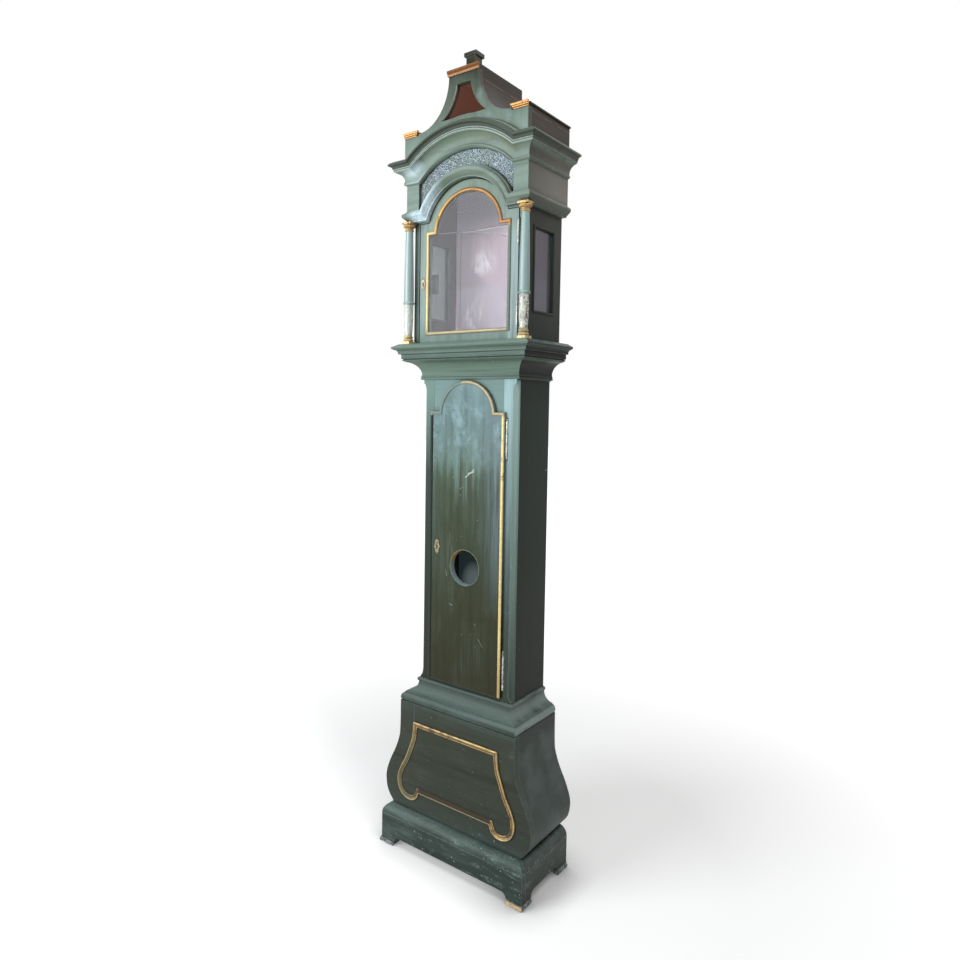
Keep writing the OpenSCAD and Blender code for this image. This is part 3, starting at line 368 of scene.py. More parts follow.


# the door grows lighter and bluer upwards, partly the paint's bloom and partly painted light
DOOR = by_height((0.50, (50, 49, 33)), (0.66, (51, 53, 37)), (0.80, (54, 58, 41)), (0.98, (56, 64, 46)),
                 (1.15, (60, 71, 52)), (1.20, (72, 88, 70)), (1.25, (102, 125, 118)),
                 (1.34, (108, 133, 133)), (1.48, (124, 151, 154)))
# the stiles are paler than the door at the same height, partly the paint's bloom and partly a painted
# reflection
STILE = by_height((0.50, (56, 62, 54)), (0.66, (60, 68, 60)), (0.80, (74, 86, 82)), (0.98, (98, 114, 112)),
                  (1.20, (132, 156, 156)), (1.42, (164, 194, 196)), (1.56, (160, 190, 192)))
RAIL = by_height((0.54, (58, 62, 52)), (0.58, (58, 62, 52)), (1.40, (124, 150, 148)), (1.56, (118, 144, 140)))
# the dark stop at 1.55 m is a painted shadow line between the hood's base frame and the waist cove
UPPER = by_height((1.45, (116, 140, 134)), (1.50, (108, 132, 120)), (1.535, (112, 137, 128)),
                  (1.55, (84, 102, 92)), (1.5655, (104, 126, 118)), (1.60, (108, 130, 122)),
                  (1.66, (122, 140, 134)), (1.90, (138, 156, 148)), (2.05, (136, 154, 144)),
                  (2.16, (144, 162, 154)), (2.22, (124, 142, 132)), (2.27, (100, 114, 102)),
                  (2.33, (80, 90, 78)), (2.362, (62, 68, 56)), (2.40, (52, 52, 42)))
HOOD_DOOR = by_height((1.60, (122, 142, 134)), (1.66, (146, 164, 160)), (1.93, (150, 168, 162)),
                      (2.00, (140, 158, 146)))
COLUMN = by_height((1.60, (106, 136, 130)), (2.0, (118, 148, 144)))
BASE = by_height((0.0, (50, 60, 56)), (0.08, (56, 67, 62)), (0.12, (70, 82, 78)), (0.145, (60, 66, 59)),
                 (0.20, (56, 60, 52)), (0.38, (56, 60, 50)), (0.44, (60, 66, 58)), (0.466, (68, 78, 72)),
                 (0.48, (82, 96, 92)), (0.54, (76, 88, 82)))
# the pale stops at 0.475 and 0.53 m are a painted highlight on the base's top moulding
FLANK = by_height((0.0, (62, 66, 60)), (0.12, (74, 80, 76)), (0.20, (77, 84, 80)), (0.40, (68, 74, 69)),
                  (0.46, (60, 66, 62)), (0.475, (140, 152, 148)), (0.53, (110, 122, 118)),
                  (0.56, (40, 44, 39)), (0.9, (35, 43, 36)), (1.4, (40, 50, 44)), (1.49, (36, 42, 37)),
                  (1.50, (20, 24, 20)), (1.60, (20, 23, 20)), (1.61, (44, 47, 43)), (1.70, (56, 59, 54)),
                  (1.95, (66, 68, 62)), (2.02, (128, 126, 118)), (2.16, (120, 118, 110)),
                  (2.19, (102, 97, 88)))
# the pale band is a painted highlight on the moulding between the trunk and the base, not on the flat sides
SIDE = [stop for stop in FLANK if not 0.47 < stop[0] < 0.54]
print("tones:", {name: len(stops) for name, stops in (("door", DOOR), ("upper", UPPER), ("flank", FLANK))})

# %% [markdown]
# Each piece has marks of its own: a scratch, a worn place, strokes of bloom. They are drawn with
# three measures on the front of the case: how far a point lies from a line, how far it lies from a
# place, and whether it is inside an ellipse. A function of marks gives rows of a tone and its
# amount, 0 to 1, at each point; the paint lays them in that order.

# %% Measures for marks
def line_distance(f, start, end):
    """How far a point of the front lies from a straight line between two places (x, z), in metres:
    its offset square to the line, and on top of it how far it is past an end."""
    (x0, z0), (x1, z1) = start, end
    length = math.hypot(x1 - x0, z1 - z0)
    ux, uz = (x1 - x0) / length, (z1 - z0) / length
    along = (f.x - x0) * ux + (f.z - z0) * uz
    across = ((f.x - x0) * uz - (f.z - z0) * ux).size()
    past = (0 - along).most(along - length).most(0.0)
    return across + past


def distance_from(f, x, z):
    """How far a point of the front lies from a place: the root of the squares' sum, in metres."""
    across, up = f.x - x, f.z - z
    return (across * across + up * up) ** 0.5


def near(f, place, reach):
    """1 at a place (x, z) of the front, falling to 0 at the rim of an ellipse round it."""
    a, b = (f.x - place[0]) * (1 / reach[0]), (f.z - place[1]) * (1 / reach[1])
    return (a * a + b * b).over(1.0, 0.15)


print("measures on the front: a line, a place, an ellipse")

# %% [markdown]
# On the trunk, the bloom comes down from the top of the door and along its edges, over the olive
# paint below. The round hole has a pale rim. The stiles beside the door have a broad chamfer that
# is paler and greener than the flat, a painted highlight. The doors' backs were never painted.

# %% Marks on the trunk
HOLE_PLACE, HOLE_RADIUS = (0.0, 0.919), 0.054
# start and end (x, z), and half the width, in metres
SCRATCHES = [((-0.001, 1.194), (0.032, 1.220), 0.0022), ((0.010, 1.206), (0.030, 1.213), 0.0030),
             ((-0.020, 1.158), (-0.010, 1.164), 0.0010), ((-0.072, 0.905), (-0.066, 0.884), 0.0007),
             ((-0.055, 0.800), (-0.044, 0.797), 0.0010), ((0.055, 0.712), (0.072, 0.690), 0.0006),
             ((0.041, 0.756), (0.045, 0.750), 0.0008), ((-0.018, 1.142), (-0.016, 1.136), 0.0008)]
DEEP_SCRATCH = 0.002


def stile_marks(f, fine):
    """The chamfer is paler and greener than the flat front, a painted highlight in long strokes, with
    lost flakes at its edges.
    """
    strokes = f.noise(60, ALONG["z"], 5, 0.62, 81.0).over(0.35, 0.6)
    # painted highlight: the chamfer, turned partly to the side, is paler towards the top
    chamfer = f.out_x.size().over(0.3, 0.6) * (strokes * 0.4 + 0.45)
    flakes = f.noise(90, (1, 1, 0.6), 5, 0.7, 83.0).over(0.66, 0.70) * f.x.size().over(0.155, 0.163)
    green = f.mix(seen(74, 88, 78), seen(170, 200, 192), f.z.over(0.55, 1.45))
    left = f.mix(seen(44, 52, 44), seen(110, 138, 130), f.z.over(1.20, 1.45))
    return [(green, chamfer),
            (left, f.x.over(-0.10, -0.12) * 0.92),
            (seen(196, 206, 190), flakes * 0.6)]


def side_marks(f, fine):
    """Small white chips above the base, and a broad painted sheen below half a metre."""
    flakes = f.noise(62, (1, 1, 0.8), 3, 0.6, 91.0).over(0.745, 0.76) * f.z.over(0.5, 0.6)
    # painted highlight: a broad sheen on the lower flank
    sheen = f.noise(11, (1, 1, 1), 4, 0.5, 93.0).over(0.45, 0.65) * f.z.over(0.5, 0.42)
    return [(seen(196, 204, 188), flakes * 0.8),
            (seen(98, 110, 108), sheen * 0.5)]


def bare_back(f):
    """The back of a door was never painted."""
    grain = f.noise(44, ALONG["z"], 7, 0.65, 17.0)
    wood = f.mix(seen(84, 66, 50), seen(128, 104, 80), grain.over(0.36, 0.64))
    return [(wood, f.out_y.over(0.3, 0.6))]


def door_bloom(f):
    """The bloom comes down along both edges in strokes, hangs in drops, and lies in blots above."""
    strokes = f.noise(75, (1, 1, 0.045), 4, 0.6, 31.0)
    right_edge = f.x.over(0.045, 0.12) * f.z.over(0.78, 1.08)
    left_edge = f.x.over(-0.055, -0.13) * f.z.over(0.80, 1.15) * f.z.over(1.3, 1.2)
    hanging = strokes.over(0.52, 0.66) * f.z.over(1.10, 1.17) * f.z.over(1.36, 1.24)
    short = f.noise(60, (1, 1, 0.12), 3, 0.5, 44.0).over(0.60, 0.68)
    blots = f.noise(17, (1, 1, 0.6), 7, 0.66, 40.0).over(0.49, 0.62) * f.z.over(1.22, 1.32)
    pits = f.noise(75, (1, 1, 1), 2, 0.5, 21.0).over(0.735, 0.75) * f.z.over(1.15, 1.25)
    return [(seen(112, 130, 136), right_edge * strokes.over(0.28, 0.58) * 0.85),
            (seen(86, 104, 96), left_edge * strokes.over(0.3, 0.6) * 0.7),
            (seen(132, 154, 150), hanging * 0.4),
            (seen(92, 100, 82), short * f.z.over(0.88, 0.95) * f.z.over(1.12, 1.02) * 0.6),
            (seen(156, 184, 192), blots * 0.55),
            (seen(100, 122, 116), f.z.over(1.38, 1.44) * f.x.over(0.01, -0.08) * 0.5),
            (seen(40, 50, 50), pits * 0.7)]


def hole_marks(f, fine):
    """A pale broken line round the hole, a pale bore, and a soft shadow above it."""
    radius, up = distance_from(f, *HOLE_PLACE), f.z - HOLE_PLACE[1]
    rim = radius.over(HOLE_RADIUS + 0.0022, HOLE_RADIUS + 0.0002) * fine.over(0.25, 0.45)
    bore = f.out_y.size().over(0.5, 0.2) * radius.over(HOLE_RADIUS + 0.006, HOLE_RADIUS + 0.003)
    bore = bore * fine.over(0.2, 0.4)
    return [(f.mix(seen(172, 168, 132), seen(126, 152, 144), up.over(0.01, -0.03)), rim * 0.85),
            (f.mix(seen(196, 160, 92), seen(176, 200, 204), up.over(0.022, 0.0)), bore * 0.9),
            (seen(24, 28, 22), radius.over(0.068, 0.056) * up.over(0.055, 0.0) * 0.25)]


def scratches(f, fine):
    """Each scratch is a line with a ragged edge; the deep ones show more."""
    rows = []
    for start, end, wide in SCRATCHES:
        ragged = line_distance(f, start, end) + (fine - 0.5) * 0.004
        strength = 0.8 if wide > DEEP_SCRATCH else 0.45
        rows.append((seen(186, 198, 186), ragged.over(wide, wide * 0.5) * strength))
    return rows


def door_marks(f, fine):
    """Bloom, the round hole and the scratches, with the door's bare back last."""
    return door_bloom(f) + hole_marks(f, fine) + scratches(f, fine) + bare_back(f)


print("round hole:", HOLE_RADIUS * 2000, "mm wide; scratches:", len(SCRATCHES))

# %% [markdown]
# On the hood, the columns are worn to silver below their ring and carry a painted highlight and
# painted shade. The cornice has painted shade in its crown's hollow between painted highlight
# lines, bloom that is partly a painted highlight lies on the shoulders of the pediment, and a
# painted highlight lies on the left of the arch.

# %% Marks on the hood
FRIEZE_FRONT, FRIEZE_SIDE = 0.070, 0.202
WORN_SILVER = (1.722, 1.716)


def column_marks(f, fine):
    """A bluish sheen, and below the ring the paint is worn to silver with brown specks. A painted
    highlight lies where the columns look to the right of the front, and painted shade where they
    look to the left."""
    low_part = f.z.over(*WORN_SILVER)
    patches = f.noise(60, (1, 1, 0.4), 5, 0.7, 3.0)
    worn = f.mix(seen(84, 74, 62), seen(196, 200, 190), patches.over(0.41, 0.50))
    worn = f.mix(worn, seen(240, 240, 226), fine.over(0.50, 0.60) * 0.8)
    streak = f.noise(50, ALONG["z"], 4, 0.6, 7.0).over(0.4, 0.6)
    # painted highlight where the columns look to the right of the front
    gleam = (f.out_x - 0.30).size().over(0.28, 0.06) * (low_part * 0.25 + 0.25)
    return [(seen(180, 208, 208), streak * 0.35),
            (worn, low_part),
            (seen(214, 230, 234), f.x.over(0, -0.1) * 0.25),
            (f.mix(seen(226, 238, 238), seen(240, 244, 236), low_part), gleam),
            # painted shade where the columns look to the left
            (f.mix(seen(58, 78, 76), seen(92, 92, 86), low_part), f.out_x.over(-0.45, -0.85) * 0.75)]


def cornice_marks(f, fine):
    """The crown's hollow is dark with painted shade, between pale lines that are painted highlights,
    and a thin dark line is painted shade; all of them are weaker at the sides. A painted highlight
    lies on the left of the lower hollow. How far a member stands out of the hood tells it apart:
    that is measured to the front on the front, and sideways at the sides."""
    reach = (-FRIEZE_FRONT - f.y).most(f.x.size() - FRIEZE_SIDE)
    side = f.out_x.size().over(0.5, 0.9)
    crown = reach.over(0.0500, 0.0506) * reach.over(0.0632, 0.0618)
    fascia = reach.over(0.0450, 0.0458) * reach.over(0.0500, 0.0494)
    line = reach.over(0.0485, 0.0487) * reach.over(0.0493, 0.0491)
    hollow = reach.over(0.022, 0.028) * reach.over(0.047, 0.042)
    # painted shade in the crown and in the thin line, a painted highlight on the fascia, all weaker at the
    # sides
    return [(seen(64, 70, 60), crown * (0.85 - side * 0.5)),
            (seen(190, 206, 198), fascia * (0.7 - side * 0.65) * fine.over(0.25, 0.5)),
            (seen(60, 70, 60), line * (0.8 - side * 0.4)),
            (seen(112, 112, 86), hollow * f.x.over(0.02, 0.16) * f.x.over(0.21, 0.17) * 0.55),
            (seen(120, 134, 112), hollow * f.x.over(0.10, 0.03) * f.x.over(-0.14, -0.05) * 0.65),
            # painted highlight on the left of the lower hollow
            (seen(206, 226, 232), hollow * near(f, (-0.178, 2.098), (0.050, 0.060)) * 0.85)]


def arch_marks(f, fine):
    """A painted bluish highlight lies on the left foot of the lower arch."""
    strokes = f.noise(60, (1, 1, 0.5), 5, 0.62, 51.0).over(0.35, 0.6)
    left = f.x.over(-0.075, -0.135) * f.x.over(-0.215, -0.18)
    return [(seen(218, 240, 250), left * (strokes * 0.4 + 0.55) * fine.over(0.2, 0.5))]


def hood_door_marks(f, fine):
    """The right stile is worn to a pale blue."""
    strokes = f.noise(70, (1, 1, 0.06), 5, 0.62, 61.0).over(0.3, 0.6)
    worn = f.x.over(0.146, 0.152) * f.z.over(1.93, 1.89) * strokes
    return [(seen(178, 194, 200), worn * 0.7), *bare_back(f)]


def pediment_marks(f, fine):
    """Bloom on the right shoulder and slope, partly a painted highlight, and a pale line along the opening's
    left edge.
    """
    cloud = f.noise(15, (1, 1, 1), 6, 0.62, 71.0).over(0.38, 0.6)
    arris = looks_inwards(f) * f.x.over(0, -0.01) * f.y.over(-0.0915, -0.0935)
    return [(seen(226, 228, 220), arris * fine.over(0.2, 0.4)),
            # bloom, partly a painted highlight
            (seen(150, 176, 172), near(f, (0.125, 2.205), (0.075, 0.060)) * cloud * 0.6),
            (seen(150, 176, 170), near(f, (0.060, 2.270), (0.022, 0.050)) * cloud * 0.5)]


print("columns are worn below", WORN_SILVER[1], "m")

# %% [markdown]
# Feet and brooms reach the base and the plinth, so these are scuffed, and most along the edges.
# One joint between the boards of the base has opened, above the corner of the gilt frame.

# %% Marks on the base
OPEN_JOINT = (-0.1600, 0.412), (-0.1585, 0.468)


def base_marks(f, fine):
    """The open joint is a dark line between two pale ones, and there are rubbed patches."""
    joint = line_distance(f, *OPEN_JOINT)
    scuffs = f.noise(26, (1, 1, 3), 6, 0.72, 15.0).over(0.60, 0.72) * fine.over(0.4, 0.6)
    return [(seen(106, 118, 112), (joint - 0.0008).size().over(0.0012, 0.0004) * 0.7),
            (seen(22, 26, 24), joint.over(0.0010, 0.0005) * 0.8),
            (seen(104, 120, 114), scuffs * 0.5)]


def plinth_marks(f, fine):
    """Scuffs along the board, more of them at its edges and towards the right."""
    scuffs = f.noise(30, (0.5, 0.5, 2.5), 7, 0.75, 18.0).over(0.52, 0.66) * fine.over(0.38, 0.6)
    near_edge = f.z.over(0.060, 0.035).most(f.z.over(0.07, 0.095) * f.z.over(0.122, 0.11))
    return [(seen(124, 144, 138), scuffs * (near_edge * 0.4 + 0.25 + f.x.over(-0.15, 0.25) * 0.45))]


print("open joint:", round(math.dist(*OPEN_JOINT) * 1000), "mm long")

# %% [markdown]
# Now every painted board gets its own paint: upright boards have upright streaks, and rails,
# mouldings and the base have level ones. The trunk comes first, then the base and the hood.

# %% Paint on the trunk and the base
BARE_INSIDE = seen(122, 114, 118)
DARK_RUB = seen(96, 110, 100)
quiet_side = {"pale": DARK_RUB, "bloom": 0.1, "gloss": 0.08, "rub": 0.5, "dust": 0.1, "inside": BARE_INSIDE}
wear(streaky_paint("green_door", DOOR, marks=door_marks, bloom=0.2, ragged=0.075, drift=0.06),
     "trunk_door_panel")
wear(streaky_paint("green_stiles", STILE, flanks=FLANK, ragged=0.04, rub=1.0, turned=(0.76, 0.95),
                   marks=stile_marks, edge=0.0028), "trunk_stile_left", "trunk_stile_right")
wear(streaky_paint("green_rails", RAIL, "x", lean=0.1), "trunk_top_rail", "trunk_bottom_rail")
wear(streaky_paint("green_sides", SIDE, flanks=SIDE, marks=side_marks, **quiet_side),
     "trunk_sides", "base_sides", "side_window_beads")
wear(streaky_paint("green_base", BASE, "x", flanks=FLANK, bloom=0.1, chips=0.7, drift=0.03, marks=base_marks),
     "base_front", "base_top_moulding")
wear(streaky_paint("green_plinth", BASE, "x", flanks=FLANK, chips=1.6, rub=0.9, drift=0.03,
                   marks=plinth_marks), "plinth_front", "plinth_sides", "plinth_moulding")

# %% [markdown]
# The hood's boards come last. What runs level and stands out is rubbed and chipped most, so the
# mouldings, the cornice and the arch share that wear. The columns were painted with more gloss.

# %% Paint on the hood
level_board = {"grain": "x", "flanks": FLANK, "chips": 0.7, "rub": 0.9}
wear(streaky_paint("green_front", UPPER, flanks=FLANK, inside=seen(112, 96, 88), marks=pediment_marks),
     "hood_head_board", "pediment_board", "finial")
wear(streaky_paint("green_hood_sides", UPPER, flanks=FLANK, **quiet_side),
     "hood_side_left", "hood_side_right")
wear(streaky_paint("green_hood_door", HOOD_DOOR, marks=hood_door_marks), "hood_door_frame")
wear(streaky_paint("green_columns", COLUMN, marks=column_marks, shine=0.24, gloss=0.6), "column_shafts")
wear(streaky_paint("green_mouldings", UPPER, turned=(0.2, 0.5), drift=0.01, ragged=0.006, **level_board),
     "waist_cornice", "hood_frieze", "hood_base_frame")
wear(streaky_paint("green_cornice", UPPER, marks=cornice_marks, **level_board), "hood_cornice")
wear(streaky_paint("green_arch", UPPER, marks=arch_marks, **level_board), "hood_arch_moulding")

# %% [markdown]
# Gilding is leaf laid on a yellow ground. Handling takes the leaf off the high places first, so
# the gold is broken up by ochre and by the green underneath. One function lays the leaf. Each
# gilded piece has its own list of places where the leaf is tinted, or gone and painted over.

# %% Gilding
def gilding(name, leaf, worn, worn_amount, tints, shine=0.4):
    """Leaf over its ground, in patches. tints gives rows of a further colour, how much of it lies
    at each point, and a share from 0 to 1: at 1 it is paint and not metal."""
    f = Finish(name)
    patches = f.noise(38, (1, 1, 0.5), 5, 0.6, 2.0)
    fine = f.noise(210, (1, 1, 1), 4, 0.6)
    bare = (patches * 0.7 + fine * 0.3).over(0.60 - 0.16 * worn_amount, 0.66 - 0.12 * worn_amount)
    colour = f.mix(leaf, tuple(0.5 * c for c in leaf), fine.over(0.45, 0.7) * 0.6)
    colour = f.mix(colour, worn, bare.most(f.open_air(0.006).over(0.85, 0.4)))
    gone = bare * 0
    for tint, amount, is_paint in tints(f):
        colour = f.mix(colour, f.mix(tint, tuple(0.75 * c for c in tint), fine.over(0.4, 0.65)), amount)
        gone = gone.most(amount * is_paint)
    rough = (bare * 0.3 + shine).most(gone * 0.9)
    metal = (1 - bare.most(gone)) * 0.3
    return f.end(Base_Color=colour, Roughness=rough, Metallic=metal,
                 Normal=f.bump(fine * 0.5 - bare * 0.5, 0.0004))


def cap_tints(f):
    """Brown lines between the steps of the side caps; the middle cap is dull with a bright foot."""
    first_step, step = 2.2275, 0.0056
    lines = f.node("ShaderNodeMath", {"operation": "COSINE"}, {0: (f.z - first_step) * (2 * math.pi / step)})
    middle = f.z.over(2.3, 2.34)
    foot = f.z.over(2.3560, 2.3555) * f.z.over(2.3515, 2.3520)
    return [(seen(140, 84, 46), lines.over(0.1, 0.7) * f.z.over(2.3, 2.26) * 0.75, 0),
            (seen(128, 80, 28), middle, 0),
            (seen(226, 166, 82), foot, 0)]


def hood_bead_tints(f):
    """Orange at the top, cream on the left, and no leaf left along the right side."""
    right_side = f.x.over(0.142, 0.147) * f.z.over(1.925, 1.918)
    foot = f.z.over(1.6365, 1.6345)
    return [(seen(150, 104, 54), f.z.over(1.99, 2.04) * 0.8, 0),
            (seen(150, 100, 50), f.x.over(0.05, 0.10) * f.z.over(1.92, 1.93) * 0.8, 0),
            (seen(208, 192, 138), f.x.over(-0.115, -0.14) * 0.9, 0),
            (seen(168, 158, 126), foot * 0.9, 0.5),
            (seen(124, 142, 134), right_side * 0.95, 1)]


def trunk_bead_tints(f):
    """Gold is left on the right side only; the arch keeps pale lines, brown on its right part."""
    arch, below = f.z.over(1.378, 1.382), f.z.over(1.382, 1.378)
    left = f.x.over(0.0, -0.03)
    crest = f.y.over(-0.0640, -0.0655)
    return [(seen(150, 138, 110), arch * 0.85, 0.5),
            (seen(206, 200, 176), arch * crest * 0.8, 0.5),
            (seen(122, 146, 142), left * arch * 0.85, 1),
            (seen(176, 186, 172), left * arch * crest * 0.7, 1),
            (seen(40, 48, 40), left * below, 1),
            (seen(170, 136, 84), f.z.over(0.72, 0.60) * f.x.over(0, 0.05) * 0.7, 0)]


def base_frame_tints(f):
    """Dull olive gold on the left leg, and a dark foot where a pale line is all that is left. The
    rise is how far the bead stands out of the base's front."""
    foot = f.z.over(0.206, 0.203) * f.x.size().over(0.142, 0.136)
    rise = -0.097 - f.y
    return [(seen(104, 98, 66), f.x.over(-0.14, -0.17) * 0.85, 0.5),
            (seen(48, 42, 32), foot, 1),
            (seen(70, 58, 36), rise.over(0.0024, 0.0020) * 0.8, 0.5),
            (seen(200, 184, 140), rise.over(0.0044, 0.0052) * (0.6 - foot * 0.1), 0)]


def column_tints(f):
    """The leaf is paler on the columns' bases."""
    return [(seen(214, 206, 160), f.z.over(1.7, 1.66) * 0.5, 0)]


wear(gilding("gilding_top", seen(232, 178, 104), seen(150, 100, 58), 0.2, cap_tints), "gilt_caps")
wear(gilding("gilding_hood_door", seen(206, 160, 84), seen(140, 104, 60), 0.2, hood_bead_tints),
     "hood_door_bead")
wear(gilding("gilding_base", seen(184, 150, 86), seen(84, 70, 46), 0.7, base_frame_tints),
     "base_panel_moulding")
wear(gilding("gilding_columns", seen(196, 160, 100), seen(110, 76, 52), 0.7, column_tints),
     "column_bases", "column_capitals")
wear(gilding("gilding_trunk_door", seen(224, 200, 134), seen(150, 116, 70), 0.1, trunk_bead_tints),
     "trunk_door_bead")

# %% [markdown]
# Hidden boards were never painted. The backboard, seen through the door, has gone pinkish grey
# with pale smears. The roof boards are nearly black outside and red-brown inside. Inside a closed
# case, light comes back from all sides: a long path for a renderer, so the boards there give off
# a little light of their own colour instead.

# %% Bare wood
def plain_wood(name, light, dark, stretch, shine=0.6, gloss=0.15, marks=None, glow=None):
    """Bare wood: dark and light grain, drawn out along the board, over broad clouds."""
    f = Finish(name)
    grain = f.noise(60, stretch, 8, 0.65, 0.6, 0.5)
    broad = f.noise(8, (1, 1, 0.6), 4, 0.5, 4.0)
    colour = f.mix(dark, light, (grain * 0.6 + broad * 0.4).over(0.35, 0.65))
    if marks:
        colour = f.lay(colour, marks(f))
    lift = {"Emission_Color": glow(f, colour), "Emission_Strength": 1.0} if glow else {}
    return f.end(Base_Color=colour, Roughness=grain * 0.2 + (shine - 0.1), Normal=f.bump(grain, 0.0006),
                 Specular_IOR_Level=gloss, **lift)


wear(plain_wood("bare_pine", seen(140, 112, 82), seen(88, 68, 48), (0.06, 1, 1)),
     "plinth_corner_blocks", "base_floor", "base_top_frame", "backboard_wings", "hood_runners",
     "seat_board", "hood_top_board")

# %% [markdown]
# The backboard shows most in the hood: a paler disc in the middle, a shadow above and beside it,
# and smears below. Its back, against the wall, is plain aged wood.

# %% Backboard
SEAT = 1.555
DISC_HEIGHT, DISC_RIM = 1.910, (0.118, 0.126)


def backboard_marks(f):
    """The disc, the shadow and the smears inside the hood, painted shade over the trunk's part, and the aged
    back.
    """
    disc = distance_from(f, 0.0, DISC_HEIGHT).over(*DISC_RIM) * f.z.over(1.78, 1.80)
    shadow = f.z.over(1.93, 2.02) * (f.z - f.x * 1.4).over(1.90, 2.02)
    blots = f.noise(15, (1, 1, 0.5), 7, 0.68, 9.0, 1.2)
    fine = f.noise(90, (1, 1, 0.5), 5, 0.66, 11.0)
    smears = blots.over(0.50, 0.58) * f.z.over(1.80, 1.70) + near(f, (-0.075, 1.868), (0.055, 0.045))
    grain = f.noise(44, (1, 1, 0.04), 7, 0.65, 13.0)
    aged = f.mix(seen(92, 70, 52), seen(142, 114, 86), grain.over(0.36, 0.64))
    return [(seen(168, 158, 166), disc * 0.7),
            (seen(118, 116, 124), shadow * 0.8),
            (seen(186, 182, 192), f.z.over(1.796, 1.788) * 0.6),
            (seen(236, 234, 238), smears.least(1.0) * fine.over(0.42, 0.54) * 0.85),
            # painted shade: the board is dark grey-blue inside the trunk
            (seen(88, 96, 98), f.z.over(SEAT + 0.005, SEAT - 0.015)),
            (aged, f.out_y.over(-0.3, 0.3))]


def hood_light(f, colour):
    """Light of the board's own colour in the hood, most of it at the left, and a faint grey light
    behind the round hole."""
    trunk = f.mix((0.012, 0.020, 0.021), (0.085, 0.105, 0.112), near(f, (-0.085, 0.825), (0.060, 0.075)))
    hood = f.mix(BLACK, colour, near(f, (-0.080, 1.800), (0.080, 0.160)) * 0.15 + 0.35)
    return f.mix(BLACK, f.mix(trunk, hood, f.z.over(SEAT, SEAT + 0.005)), f.out_y.over(0.3, -0.3))


wear(plain_wood("back_boards", seen(208, 190, 196), seen(182, 164, 172), (1, 1, 0.05),
                marks=backboard_marks, glow=hood_light), "backboard", "hood_back_rails")

# %% [markdown]
# The roof's boards are seen twice: from outside, nearly black, with a pale line where the boxes
# end, and from inside, red-brown, through the window in the pediment.

# %% Roof boards
BOX_RIM, ROOF_RIM = 2.2165, 2.3445
RED_BROWN = seen(168, 122, 100)


def inside_roof(f):
    """1 on faces that look down, inwards or to the front, as the roof's inner faces do."""
    down = f.out_z.over(-0.05, -0.15) * f.x.size().over(0.216, 0.210)
    to_front = f.out_y.over(-0.8, -0.95) * f.y.over(0.09, 0.11)
    return down.most(looks_inwards(f)).most(to_front)


def roof_marks(f):
    """Broken pale lines along the upper rims outside, and red-brown wood inside."""
    outside = f.out_x.size().over(0.7, 0.9)
    box_line, roof_line = ((f.z - rim).size().over(0.0016, 0.0008) for rim in (BOX_RIM, ROOF_RIM))
    broken = f.noise(30, (1, 1, 1), 4, 0.6, 5.0).over(0.35, 0.55)
    return [(seen(112, 90, 76), box_line.most(roof_line) * outside * broken),
            (RED_BROWN, inside_roof(f))]


def roof_light(f, colour):
    """A faint red-brown light on the inner faces."""
    return f.mix(BLACK, (0.058, 0.027, 0.020), inside_roof(f))


wear(plain_wood("roof_boards", seen(74, 66, 59), seen(44, 39, 35), (1, 0.06, 1), shine=0.45,
                marks=roof_marks, glow=roof_light), "roof_boards", "side_box_boards", "pediment_back_board")

# %% [markdown]
# The metal is small: key plates, hinges, screws, locks and bolts. Old brass and iron are dull in
# most places and bright where they are touched, so one function mixes two tones in small stains.

# %% Brass and iron
def old_metal(name, bright, dull, rough, metal):
    """Stained metal: bright and dull spots a few millimetres wide, with a very fine relief."""
    f = Finish(name)
    stains = f.noise(120, (1, 1, 1), 5, 0.65)
    fine = f.noise(500, (1, 1, 1), 3, 0.6)
    return f.end(Base_Color=f.mix(dull, bright, stains.over(0.38, 0.62)), Metallic=metal,
                 Roughness=stains * -0.2 + (rough + 0.1), Normal=f.bump(fine, 0.0001))


wear(old_metal("worn_hinges", seen(206, 208, 200), seen(120, 120, 110), 0.35, 0.7),
     "trunk_hinge_pins", "trunk_hinge_case_leaves", "trunk_door_hinge_leaves", "hood_hinge_case_leaves",
     "hood_door_hinge_leaves")
wear(old_metal("aged_brass", seen(150, 140, 118), seen(80, 66, 48), 0.45, 0.6),
     "trunk_door_escutcheon", "hood_door_escutcheon", "trunk_hinge_case_screws", "trunk_door_hinge_screws",
     "trunk_lock_bolt", "hood_lock_bolt")
wear(old_metal("worn_iron", seen(128, 130, 126), seen(92, 92, 88), 0.5, 0.5),
     "trunk_door_lock", "hood_door_lock")

# %% [markdown]
# Between the two arches lies a carved panel: a running scroll of foliage, cut a few millimetres
# deep and silvered on its high places. It could be a bump in a plain panel's finish, but the
# cut edges catch the light and the panel is seen from close by, so it is a real surface. First
# comes the height of the foliage at any place of the panel, as one formula.

# %% Height of the foliage
SPIRAL_PITCH, ROW_PITCH = 0.0185, 0.0145
SPIRAL_REACH, RIDGE, VEIN = 0.0088, 0.0052, 0.0047


